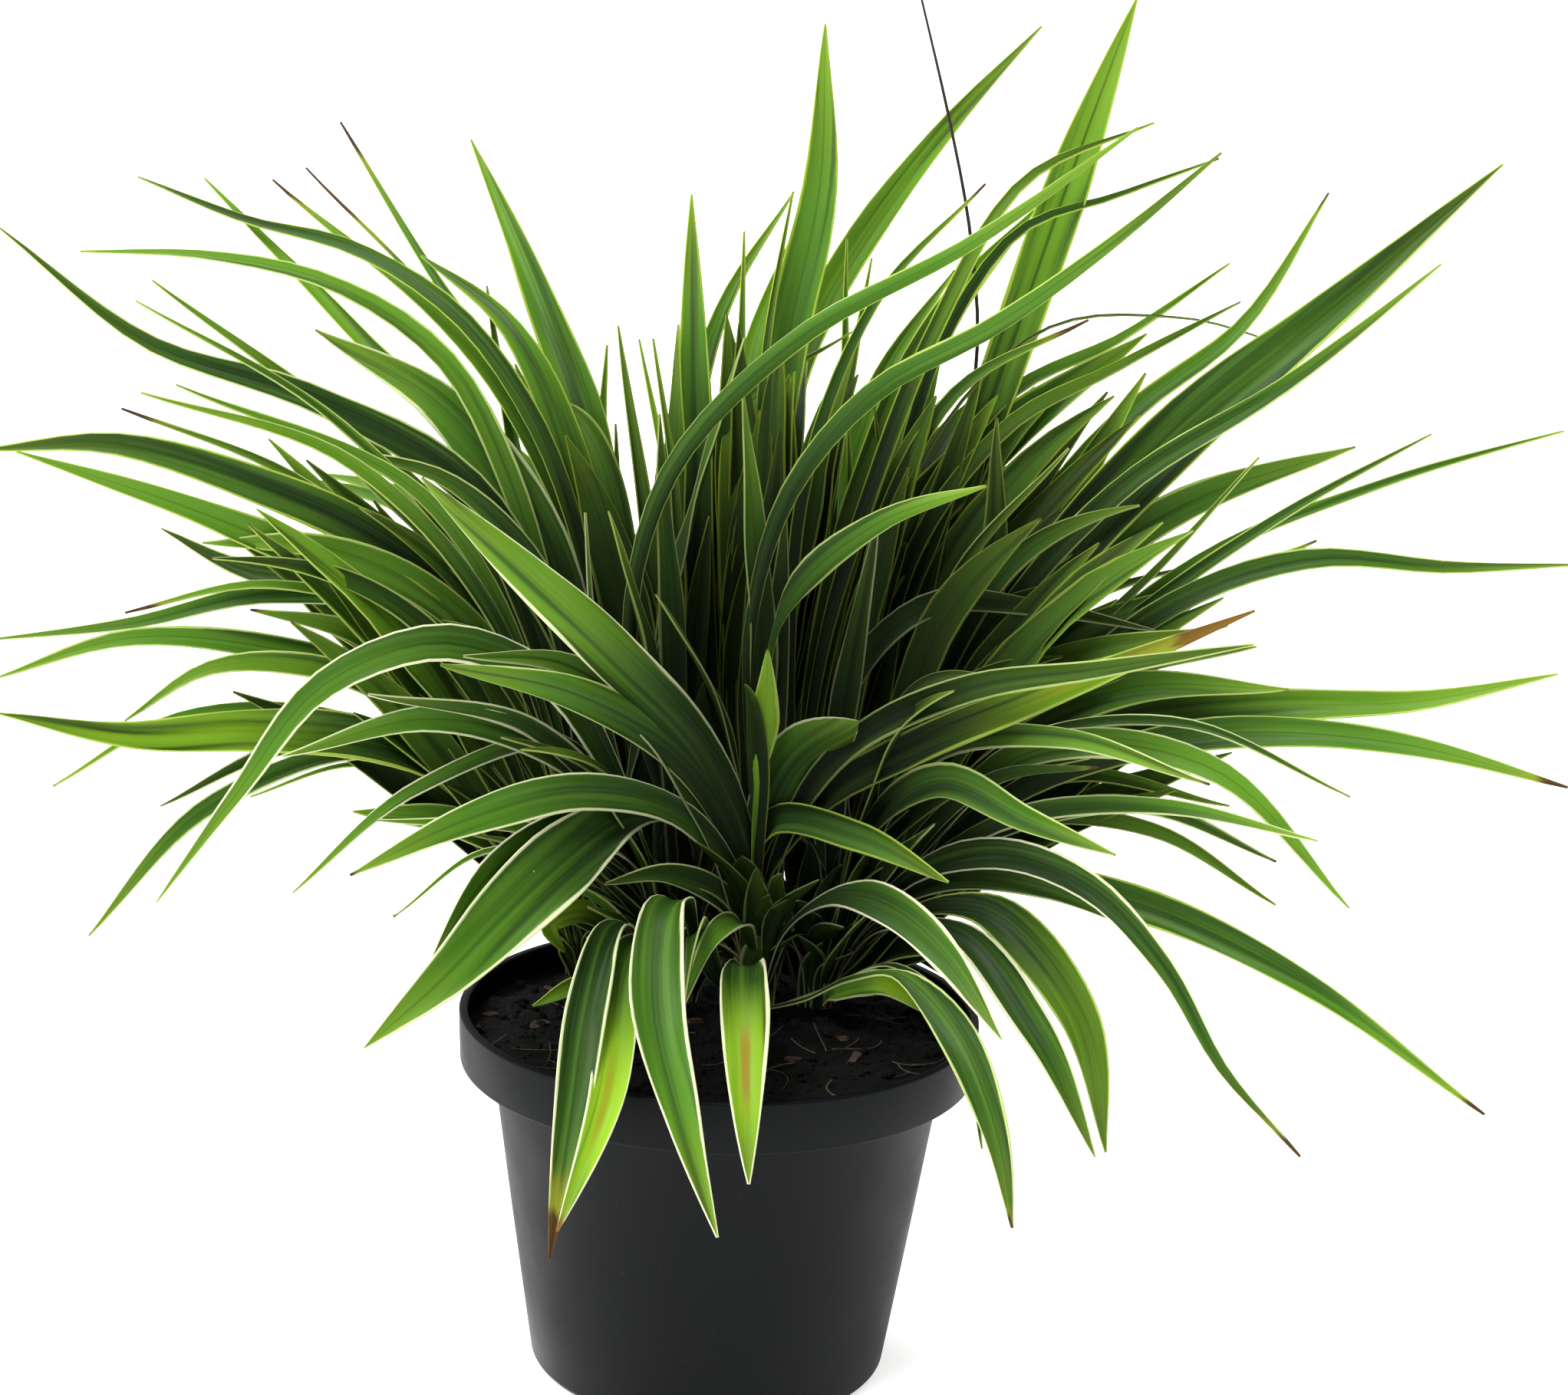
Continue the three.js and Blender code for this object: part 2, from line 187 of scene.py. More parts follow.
leafLook = {
    "veinSpacing": 0.9,        # mm, drawn a little coarser than real ones so that they show
    "veinLength": 70,          # mm over which one vein keeps its tone
    "streakSpacing": 3.6,      # mm between the broader pale and dark streaks
    "streakLength": 130,       # mm
    "fringeSpacing": 1.6,      # mm, of what frays the margins and the dry tips
    "fringeLength": 30,
    "wanderSpacing": 12,       # mm, of what makes the margins wider and narrower
    "wanderLength": 60,
    "veinDepth": 0.05,         # mm
    "through": 0.27,           # share of the light that goes into the blade and not off it
    "roughness": 0.42,
    "gloss": 0.2,
}


# What each leaf's vertices carry for the material; bladeShade is painted shade
bladeFacts = (
    "bladeTint", "bladePale", "bladeMargin", "bladeSkew", "bladeDry", "bladeGlow", "bladeSore", "bladeStalk",
    "bladeShade",
)


def leafMaterial(values):
    material, tree = newMaterial("Living leaf, waxy variegated green")
    share = addNode(tree, "ShaderNodeUVMap", {"uv_map": "bladeShare"})
    size = addNode(tree, "ShaderNodeUVMap", {"uv_map": "bladeSize"})
    shareParts = addNode(tree, "ShaderNodeSeparateXYZ", links={"Vector": share})
    along = shareParts.outputs["Y"]
    facts = {}
    for name in bladeFacts:
        facts[name] = addNode(tree, "ShaderNodeAttribute", {"attribute_name": name}).outputs["Fac"]
    shade, dry = facts["bladeShade"], facts["bladeDry"]

    patterns = []
    for name, detail in (("vein", 1), ("streak", 2), ("fringe", 2), ("wander", 1)):
        scale = (1 / (values[name + "Spacing"] * mm), 1 / (values[name + "Length"] * mm), 1)
        mapping = addNode(tree, "ShaderNodeMapping", links={"Vector": size, "Scale": scale})
        links = {"Vector": mapping, "Scale": 1, "Detail": detail}
        patterns.append(addNode(tree, "ShaderNodeTexNoise", {"noise_dimensions": "2D"}, links).outputs["Fac"])
    veins, streaks, fringe, wander = patterns

    # The product of its factors. A factor of three parts is a value, and where it gives 0 and where 1
    def product(*factors):
        total = None
        for factor in factors:
            if isinstance(factor, tuple):
                links = dict(zip(("Value", "From Min", "From Max"), factor))
                factor = addNode(tree, "ShaderNodeMapRange", {"interpolation_type": "SMOOTHSTEP"}, links)
            if total is not None:
                factor = addNode(tree, "ShaderNodeMath", {"operation": "MULTIPLY"}, {0: total, 1: factor})
            total = factor
        return total

    def cover(colour, *layers):  # each layer has its colour and the factors of how much it covers
        for over, *factors in layers:
            below, above = [hexColour(part) if isinstance(part, str) else part for part in (colour, over)]
            links = {0: product(*factors), 6: below, 7: above}
            colour = addNode(tree, "ShaderNodeMix", {"data_type": "RGBA"}, links).outputs[2]
        return colour

    less, plus = {"operation": "SUBTRACT"}, {"operation": "ADD"}
    timesPlus = {"operation": "MULTIPLY_ADD"}
    sideways = addNode(tree, "ShaderNodeMath", timesPlus, {0: shareParts.outputs["X"], 1: 2, 2: -1})
    across = addNode(tree, "ShaderNodeMath", {"operation": "ABSOLUTE"}, {0: sideways})

    # Green from the darker root to the yellower tip: partly the leaf's own green, partly painted shade low
    # down and painted light out towards the tip
    green = addNode(tree, "ShaderNodeValToRGB", links={"Fac": along})
    colour = setRamp(green, [
        (0.0, "#27370f"), (0.12, "#1b300c"), (0.3, "#1d3a0d"),
        (0.55, "#325513"), (0.8, "#4d7e1c"), (1.0, "#80a12f"),
    ])
    tint = facts["bladeTint"]
    colour = cover(
        colour,
        ("#629122", (tint, 0.5, 1.0), 0.75),
        ("#0e230b", (tint, 0.45, 0.0), 0.7),
        ("#66942e", (streaks, 0.5, 0.7), 0.35),
        ("#0d2108", (streaks, 0.5, 0.3), 0.6),
        ("#6f9442", (veins, 0.35, 0.75), 0.1),
        ("#10240a", (across, 0.12, 0.0), 0.35),
        # A yellow-green patch in the outer half of a few leaves, partly the leaf's own yellowing and partly
        # painted light shining through the blade, with an orange streak in it
        ("#93bd22", (along, 0.5, 0.74), (along, 1.0, 0.84), facts["bladeGlow"], (streaks, 0.2, 0.55)),
        ("#94701f", (across, 0.34, 0.1), (along, 0.64, 0.74), (along, 0.9, 0.8), facts["bladeSore"]),
        # Painted shade: the colour goes to near-black green where bladeShade is high, deep in the clump
        ("#040b02", shade),
    )

    # Margins, wider on one side of the blade than on the other, and uneven along it
    uneven = addNode(tree, "ShaderNodeMath", timesPlus, {0: sideways, 1: facts["bladeSkew"], 2: 1})
    wider = addNode(tree, "ShaderNodeMath", timesPlus, {0: product((wander, 0.3, 0.7)), 1: 0.9, 2: 0.35})
    frayed = addNode(tree, "ShaderNodeMath", timesPlus, {0: fringe, 1: 1.0, 2: 0.5})
    margin = product(facts["bladeMargin"], frayed, wider, uneven)
    edge = addNode(tree, "ShaderNodeMath", less, {0: 1, 1: margin})
    pastEdge = addNode(tree, "ShaderNodeMath", less, {0: across, 1: edge})
    haloEdge = addNode(tree, "ShaderNodeMath", less, {0: edge, 1: margin})
    pastHalo = addNode(tree, "ShaderNodeMath", less, {0: across, 1: haloEdge})
    # lit is the share of the blade free of painted shade; painted shade also darkens the margins, less than
    # the blade
    lit = addNode(tree, "ShaderNodeMath", less, {0: 1, 1: shade})
    rimColour = cover("#9db928", ("#e6e7c6", facts["bladePale"]), ("#0d1304", shade, 0.9))
    colour = cover(
        colour,
        ("#6a9036", (pastHalo, 0, 0.14), (fringe, 0.45, 0.7), lit, 0.4),
        (rimColour, (pastEdge, -0.03, 0.03)),
    )

    # Dry ends: yellow first, then brown
    ragged = addNode(tree, "ShaderNodeMath", timesPlus, {0: fringe, 1: 0.05, 2: along})
    yellowPlace = addNode(tree, "ShaderNodeMath", plus, {0: ragged, 1: product(dry, 1.7)})
    brownPlace = addNode(tree, "ShaderNodeMath", plus, {0: ragged, 1: dry})
    rust = cover("#2a1b13", ("#66491f", veins), ("#a07c22", facts["bladeSore"]))
    colour = cover(
        colour,
        ("#96962c", (yellowPlace, 1.03, 1.09), (dry, 0, 0.01), 0.7),
        (rust, (brownPlace, 1.03, 1.05), (dry, 0, 0.01)),
        ("#332e25", facts["bladeStalk"]),
    )

    # Rougher where the painted shade is, so that its sheen does not show there
    links = {0: streaks, 1: 0.16, 2: values["roughness"] - 0.08}
    skinRough = addNode(tree, "ShaderNodeMath", timesPlus, links)
    rough = addNode(tree, "ShaderNodeMath", plus, {0: skinRough, 1: product(shade, 0.45)})
    bump = addNode(tree, "ShaderNodeBump", links={
        "Height": veins, "Distance": values["veinDepth"] * mm, "Strength": 0.7,
    })
    skin = addNode(tree, "ShaderNodeBsdfPrincipled", links={
        "Base Color": colour, "Roughness": rough, "IOR": 1.42, "Specular IOR Level": values["gloss"],
        "Normal": bump.outputs["Normal"],
    })
    yellower = addNode(tree, "ShaderNodeHueSaturation", links={
        "Hue": 0.485, "Saturation": 1.0, "Value": 1.2, "Color": colour,
    })
    tissue = addNode(tree, "ShaderNodeBsdfTranslucent", links={"Color": yellower.outputs["Color"]})
    mixed = addNode(tree, "ShaderNodeMixShader", links={
        0: values["through"], 1: skin.outputs["BSDF"], 2: tissue.outputs["BSDF"],
    })
    addNode(tree, "ShaderNodeOutputMaterial", links={"Surface": mixed.outputs["Shader"]})
    return material


# Leaves

blade = {
    "cells": (8, 36),          # across and along
    "plainCells": (4, 15),     # of the many inner leaves
    "thickness": 0.5,          # mm
    "rootWidth": 0.34,         # share of the full width at the root
    "stemWidth": 0.2,          # the same of a leaf with a thin stalk
    "sheathRootWidth": 0.9,    # the same of a leaf base that sheathes the foot
    "tipWidth": 0.5,           # mm
    "fullWidthAt": 0.55,       # share of the length where a leaf is widest
    "pointPower": 1.9,         # how long it stays wide before its point
    "elbowPull": 0.84,         # how tightly it bends round its elbow
    "rootDrop": 0.05,          # share of a leaf's rows of cells that are gathered at its root
    "rootFold": 62,            # degrees that each half is folded up at the root
    "midFold": 21,
    "tipFold": 24,
    "sheathFold": 48,          # degrees, all along a sheath
    "creaseSoft": 0.02,        # how softly the crease bends
    "halfArch": 0.10,          # bulge of each half, as a share of the half width
    "waveLength": 46,          # mm
    "waveHeight": 0.16,        # as a share of the half width, at the edges
    "bow": 3.2,                # mm that a leaf may bend off its line
}

soilLevel = 99                 # mm
footOut, footUp = 3, 3         # mm, where the leaves' centre lines start in a crown's foot

# Each leaf has its heading, width, line and looks, with degrees in plan and mm. The line's points are
# (out, up) from the crown's foot at soil level, and may add a step sideways. A line of two points
# is a plain arch, where the first is the corner that it bends round. looks may hold: roll, degrees
# that the upper face turns to the light; full and point, where the leaf is widest and how long it
# stays wide; pale, 1 for cream margins and 0 for yellow-green ones; glow and sore, for a yellow-green
# patch, partly the leaf's own yellowing and partly painted light shining through it, and an orange
# streak; dry, the share of the tip that is brown; stalk, 1 for a dry wiry one; stem, the share of the
# widening part that stays a thin stalk; dim, 1 for as much painted shade as the heart; lit, 1 for none
# of its painted shade; fold, degrees that each half is folded up; sheath, 1 for a wide base; tint,
# from 0 for the darkest green to 1 for the lightest.

def traced(heading, width, line, **looks):  # one leaf, most of them read off the photograph
    return heading, width, line, looks


# The sheaths and short leaves with dim 0.9 are painted nearly black with shade, and fill shaded gaps low in
# the clump.
crowns = {}

crowns["crown_left"] = dict(at=(-40, 35), roll=66, pale=0.3, margin=0.09, leaves=[
    traced(171, 7.5, [(7, 41), (11, 80), (17, 117), (29, 154), (49, 187), (82, 206), (120, 212), (158, 211)],
        full=0.5, point=1.5),
    traced(179, 12.5, [(7, 54), (15, 106), (37, 151), (82, 175), (132, 189), (174, 219)],
        full=0.45, point=1.25),
    traced(175, 5.5, [(9, 66), (35, 124), (80, 168), (133, 205)], full=0.6, point=1.6),
    traced(189, 3.5, [(10, 66), (34, 124), (77, 171), (132, 203)]),
    traced(164, 18, [(4, 48), (9, 93), (23, 136), (51, 171), (91, 191)],
        full=0.62, point=1.8, roll=65, tint=0.5, pale=0.6),
    traced(183, 12.5, [(6, 41), (17, 78), (37, 111), (67, 135), (102, 150), (140, 160), (178, 157)],
        roll=80, full=0.6, point=1.7, pale=0.1, tint=0.1),
    traced(189, 12.5, [(14, 64), (49, 115), (106, 141), (165, 160)],
        full=0.55, point=1.5, pale=0.1, tint=0.8),
    traced(197, 5, [(12, 62), (33, 118), (74, 161), (131, 180)], roll=75),
    traced(193, 5, [(14, 81), (50, 149), (121, 181)], roll=75),
    traced(172, 4, [(15, 60), (43, 112), (89, 148), (145, 166)], dry=0.06),
    traced(168, 12, [(8, 34), (13, 64), (24, 93), (47, 114), (77, 119), (108, 118), (137, 129)],
        full=0.6, point=1.8, pale=0.7, lit=0.3),
    traced(187, 4, [(10, 45), (25, 84), (54, 114), (95, 123), (136, 113)], dry=0.06),
    traced(184, 8, [(10, 45), (24, 84), (53, 114), (95, 118), (136, 108), (177, 102)],
        full=0.5, point=1.4, pale=0.7),
    traced(195, 8.5, [(12, 40), (31, 73), (61, 96), (97, 107), (135, 110), (171, 99)]),
    traced(200, 8.5, [(10, 30), (23, 54), (40, 76), (61, 93), (87, 103), (114, 103), (137, 89)],
        full=0.6, point=1.5),
    traced(203, 14, [(13, 37), (35, 65), (66, 82), (102, 87), (137, 87), (172, 95)],
        full=0.6, point=1.5, glow=0.5, pale=0.1),
    traced(192, 3.5, [(17, 40), (45, 68), (82, 84), (122, 84), (156, 65)]),
    traced(198, 6, [(24, 49), (66, 78), (113, 63), (147, 25)], full=0.72, point=1.6, pale=0.6),
    traced(202, 6, [(21, 41), (49, 72), (89, 81), (128, 65)], pale=0.6),
    traced(196, 2, [(16, 34), (37, 60), (69, 73), (101, 63)]),
    traced(15, 12, [(16, 105), (40, 196)], roll=0),
    traced(180, 14, [(8, 64), (32, 119), (77, 159)], roll=80, full=0.55, point=1.5, dim=0.25),
    traced(186, 8, [(3, 36), (5, 68), (10, 100), (22, 130), (45, 153), (76, 162)], roll=85),
    traced(196, 10.5, [(9, 35), (22, 66), (42, 92), (69, 111), (101, 118)], roll=85, dry=0.03, dim=0.3),
    traced(190, 10.5, [(5, 36), (14, 67), (29, 96), (52, 120), (82, 134), (114, 135)],
        roll=85, full=0.7, point=1.6),
    traced(300, 15, [(8, 28), (18, 48)], roll=0, dim=0.9, sheath=1),
    traced(205, 10, [(15, 34), (42, 54), (74, 61)], roll=65, full=0.6, tint=0.7, lit=0.8),
    traced(320, 14, [(4, 18, 1), (9, 33, -1), (12, 47, -2)], roll=-55, dim=0.9),
], sprouts=dict(count=6, heading=(152, 208), reach=(50, 120), rise=(90, 170), width=(6, 10)),
   filling=dict(count=20, heading=(160, 206), reach=(50, 115), rise=(70, 160), width=(11, 17)))

crowns["crown_front_left"] = dict(at=(-12, 18), roll=30, pale=0.75, margin=0.11, leaves=[
    traced(206, 11, [(12, 39), (23, 74), (43, 104), (77, 118), (111, 107), (134, 78), (156, 49)],
        roll=75, full=0.55, point=1.4, tint=0.45, pale=1, margin=0.1, lit=0.6),
    traced(204, 10, [(14, 44), (39, 78), (78, 93), (120, 86)], roll=70),
    traced(200, 5, [(15, 47), (38, 85), (81, 73), (115, 44)], roll=60),
    traced(216, 2, [(18, 29), (40, 49), (69, 57), (96, 44)], roll=70),
    traced(234, 22, [(-3, 30), (2, 57), (28, 65), (55, 58), (81, 47), (106, 35), (133, 25)],
        roll=50, full=0.6, point=1.6, tint=0.5, pale=0.9, margin=0.08, stem=0.5),
    traced(226, 13, [(11, 40), (37, 65), (73, 58), (98, 30)],
        roll=65, full=0.6, point=1.8, tint=0.25, pale=1, margin=0.14),
    traced(258, 12, [(25, 29, 6), (57, 43, 7), (90, 33, 4), (113, 7, 1), (131, -23, 0)],
        roll=15, full=0.64, point=1.8, dry=0.09, tint=0.12, pale=0.7, stem=0.3),
    traced(262, 12, [(32, 30, 4), (70, 34, 2), (105, 14, -1), (132, -14, 7)],
        roll=15, full=0.62, point=1.8, glow=1, dry=0.04, tint=0.7, pale=0.9, sore=0.5),
    traced(277, 15.5, [(24, 25, -1), (44, 47, 5), (71, 53, 14), (96, 35, 16), (114, 11, 9), (128, -15, 0)],
        roll=5, full=0.64, point=1.5, tint=0.45, pale=0.9, stem=0.3),
    traced(150, 9, [(10, 100), (14, 176)], pale=0.2),
    traced(196, 10, [(8, 96), (26, 150)], pale=0.2),
    traced(200, 6.5, [(17, 5), (32, 9), (45, 5)], roll=65, pale=0.2, glow=0.4, tint=1, lit=0.6),
    traced(204, 6.5, [(16, 51), (48, 89), (96, 102)], roll=90),
    traced(212, 4, [(13, 33), (37, 53), (67, 64), (98, 70)], roll=85, tint=1),
    traced(205, 7.5, [(7, 13), (14, 22), (22, 30), (32, 35), (42, 31), (37, 22)],
        roll=80, glow=1, tint=1, full=0.75, point=1.6, pale=0),
    traced(200, 3, [(13, 32), (30, 57), (45, 84)], roll=-85, glow=0.8, tint=1),
    traced(180, 2.5, [(15, 51), (27, 99), (32, 148)], roll=85, tint=0.9),
    traced(30, 18, [(10, 30), (22, 58)], roll=0, dim=0.9, sheath=1),
], sprouts=dict(count=3, heading=(204, 246), reach=(40, 75), rise=(70, 120), width=(6, 9)),
   filling=dict(count=12, heading=(200, 250), reach=(20, 66), rise=(25, 80), width=(8, 12)))

crowns["crown_front"] = dict(at=(10, 14), roll=15, pale=0.6, margin=0.1, leaves=[
    traced(219, 15, [(4, 45), (24, 82), (54, 112), (85, 141), (117, 170)],
        roll=-75, full=0.62, point=1.7, tint=0.35, pale=0.8, lit=0.2),
    traced(216, 11.5, [(5, 46), (29, 82), (65, 105), (107, 118)],
        roll=-85, full=0.6, point=1.9, tint=0.3, pale=0.4, lit=0.2),
    traced(214, 11.5, [(6, 38), (28, 66), (61, 77), (97, 73), (131, 62)],
        roll=75, full=0.68, point=1.6, tint=0.45, pale=0.75, lit=0.3),
    traced(270, 14, [(29, 25, 3), (62, 34, 4), (95, 24, 2), (116, -3, -1)],
        roll=0, full=0.62, point=1.9, glow=0.7, sore=0.8, pale=1, tint=0.25),
    traced(258, 8.5, [(21, 20, 5), (38, 39, 5), (61, 46, 3), (80, 30, 2)], roll=-60, tint=0.2, pale=0.3),
    traced(304, 11, [(27, 15), (50, 30), (75, 39), (100, 30), (117, 9), (126, -17)],
        roll=45, full=0.68, point=1.7, dry=0.03, pale=0.4, tint=0.12, stem=0.62),
    traced(311, 3.4, [(31, 18), (59, 32), (87, 21), (97, -8)], roll=50, tint=0.05, stem=0.6, full=0.66),
    traced(306, 11.5, [(13, 29), (34, 45), (62, 50), (89, 44), (112, 30)],
        roll=60, full=0.6, point=2.2, pale=0.9, tint=0.2, margin=0.14, stem=0.4),
    traced(320, 9.5, [(-7, 34), (4, 63), (36, 65), (68, 58)],
        roll=75, full=0.65, point=2.2, tint=0.3, pale=0.1, margin=0.12, lit=0.4),
    traced(326, 18, [(-1, 29), (1, 56), (11, 80), (31, 96)],
        roll=-65, full=0.74, point=3, tint=0.3, pale=0.8, lit=0.35, margin=0.07, stem=0.3),
    traced(322, 8.5, [(-1, 44), (-6, 85), (2, 126), (33, 153), (71, 169)],
        roll=-65, full=0.68, point=1.7, tint=0.5, pale=0.3, lit=0.2, stem=0.8),
    traced(352, 7.2, [(-23, 52), (-39, 104), (-30, 157), (5, 199), (51, 229), (94, 263)],
        roll=-90, full=0.62, point=1.6, pale=0.2, tint=0.5, margin=0.1, fold=42),
    traced(348, 7.4, [(0, 42), (-5, 80), (-6, 119), (3, 156), (26, 187), (59, 208), (89, 232), (117, 258)],
        roll=-90, full=0.62, point=1.6, pale=0.15, tint=0.35, margin=0.12, stem=0.25, fold=38),
    traced(268, 9, [(4, 41, -1), (9, 78, -1), (15, 115, 0)],
        roll=0, lit=0.6, tint=0.7, margin=0.14, pale=0.1, full=0.8, stem=0.75, point=1.3, glow=0.5),
    traced(140, 10, [(4, 110), (14, 184)], pale=0.3),
    traced(80, 9, [(4, 90), (16, 150)], pale=0.3),
    traced(196, 8, [(4, 84), (34, 128)], pale=0.3),
    traced(338, 11, [(0, 38), (17, 68), (46, 89), (77, 106), (108, 123), (139, 140)],
        roll=80, full=0.52, point=1.6, pale=0.1, dry=0.13, glow=0.7, sore=0.4, tint=0.05),
    traced(210, 10, [(9, 35), (20, 65), (38, 92), (64, 112), (95, 117)],
        roll=65, full=0.6, point=1.8, dim=0.3),
    traced(262, 8.5, [(8, 25, 2), (27, 39, 4), (50, 40, 7), (68, 26, 10)],
        roll=30, full=0.5, point=1.4, tint=0.8),
    traced(334, 9.5, [(4, 46), (23, 85), (59, 109), (101, 121), (142, 133)],
        roll=85, glow=0.12, full=0.55, point=1.4, dry=0, pale=0.3, tint=0.1, fold=30, dim=0.2),
    traced(215, 8.5, [(1, 24), (13, 41), (32, 50), (53, 49)],
        roll=85, full=0.55, point=1.6, tint=0.1, pale=0.5, lit=0.3),
    traced(80, 20, [(7, 40), (15, 80)], roll=0, dim=0.9, sheath=1),
], sprouts=dict(count=1, heading=(240, 300), reach=(14, 30), rise=(90, 140), width=(7, 10)),
   filling=dict(count=9, heading=(200, 330), reach=(6, 26), rise=(28, 60), width=(9, 14)))

crowns["crown_front_right"] = dict(at=(28, 20), roll=45, pale=0.6, margin=0.1, leaves=[
    traced(314, 11, [(24, 33), (58, 42), (88, 21), (110, -9)],
        full=0.65, point=1.6, tint=0.15, pale=0.9, stem=0.4),
    traced(321, 14, [(25, 36), (62, 49), (93, 26), (104, -13)],
        roll=55, full=0.62, point=1.7, pale=0.2, tint=0.1, stem=0.4),
    traced(340, 3.5, [(23, 50), (54, 90), (103, 103), (151, 88)], roll=70),
    traced(328, 7.5, [(14, 46), (35, 84), (76, 97), (120, 93)], roll=70),
    traced(337, 9.5, [(26, 51), (62, 91), (114, 93), (155, 59)], roll=65, full=0.6, point=1.5),
    traced(335, 6, [(24, 42), (58, 71), (101, 81), (146, 78)], roll=70),
    traced(341, 6.5, [(22, 40), (53, 67), (92, 78), (132, 66)], roll=70),
    traced(315, 10.5, [(10, 34), (21, 63), (45, 81), (77, 78), (108, 76)],
        roll=75, full=0.62, point=1.7, pale=0.3, tint=0.3),
    traced(323, 10, [(16, 31), (36, 54), (64, 66), (94, 62), (118, 44), (137, 19), (161, 1)],
        roll=60, full=0.45, point=1.1, dry=0.05, pale=1, tint=0.1),
    traced(335, 11, [(37, 47), (93, 50), (147, 36), (198, 10)],
        roll=70, full=0.5, point=1.2, dry=0.04, pale=0.1, tint=0.4),
    traced(20, 9, [(6, 90), (12, 150)]),
    traced(318, 9.5, [(13, 13, 5), (26, 18, 1), (38, 10, -4)],
        roll=55, pale=0.5, tint=1, lit=0.8, full=0.6, point=1.4, glow=0.9),
    traced(332, 5, [(18, 31), (31, 60), (54, 82), (84, 90)], roll=-85, dry=0.04),
    traced(325, 10, [(17, 33), (43, 52), (75, 56), (108, 50)],
        roll=75, full=0.55, point=1.5, dim=0.2, pale=0.6),
], sprouts=dict(count=3, heading=(308, 338), reach=(45, 85), rise=(80, 130), width=(6, 9)),
   filling=dict(count=12, heading=(300, 340), reach=(20, 66), rise=(25, 80), width=(8, 12)))

crowns["crown_right"] = dict(at=(38, 33), roll=64, pale=0.2, margin=0.08, leaves=[
    traced(345, 10, [(14, 60), (50, 105), (104, 126)]),
    traced(349, 6.5, [(10, 46), (35, 81), (71, 106), (112, 119)]),
    traced(354, 4, [(8, 80), (50, 98)]),
    traced(351, 12.5, [(15, 42), (42, 71), (78, 90), (117, 99), (157, 105), (196, 117)],
        full=0.55, point=1.5, pale=0.2, tint=0.55),
    traced(346, 10, [(22, 47), (59, 79), (104, 95), (153, 97), (201, 89)],
        full=0.6, point=1.6, dry=0.05, tint=0.5),
    traced(352, 5.5, [(21, 48), (60, 74), (108, 70)]),
    traced(345, 5.5, [(17, 39), (49, 61), (88, 63), (124, 46)]),
    traced(356, 8.5, [(1, 35), (-5, 67), (-3, 99), (19, 122), (51, 123), (83, 119)], pale=0.7),
    traced(350, 8, [(13, 49), (32, 92), (58, 131)], roll=-75, pale=0.7),
    traced(17, 19.5, [(17, 66), (48, 123), (91, 171), (142, 211), (192, 252)],
        full=0.6, point=1.25, pale=0.1, tint=0.15),
    traced(11, 7, [(17, 58), (39, 110), (75, 154), (122, 187), (166, 224)]),
    traced(15, 12, [(16, 61), (45, 113), (92, 149), (149, 168)], full=0.65, point=1.9, tint=0.3),
    traced(4, 4.5, [(18, 49), (45, 89), (80, 123), (119, 152), (161, 177)]),
    traced(8, 4, [(22, 56), (55, 103), (98, 139), (151, 161), (205, 177)]),
    traced(358, 7.5, [(16, 39), (36, 72), (61, 102), (91, 127), (126, 141), (165, 141), (203, 144)],
        full=0.6, point=1.5),
    traced(12, 8, [(15, 41), (38, 73), (68, 100), (100, 124), (136, 141)], dry=0.03, glow=0.9),
    traced(6, 3, [(10, 43), (30, 78), (57, 108), (86, 137), (112, 168)]),
    traced(348, 12.5, [(18, 44), (41, 81), (78, 103), (122, 108)], roll=80, full=0.6, point=1.7),
    traced(0, 4.5, [(10, 47), (16, 91), (28, 134), (55, 170)], roll=85),
    traced(20, 10.5, [(11, 47), (26, 88), (37, 131), (37, 176)], dim=0.6, full=0.6),
    traced(318, 8, [(10, 18), (27, 22), (43, 17)], roll=70, full=0.6, dim=0.6, tint=0.1),
], sprouts=dict(count=5, heading=(342, 382), reach=(50, 120), rise=(80, 160), width=(6, 10)),
   filling=dict(count=20, heading=(342, 380), reach=(40, 110), rise=(75, 155), width=(11, 17)))

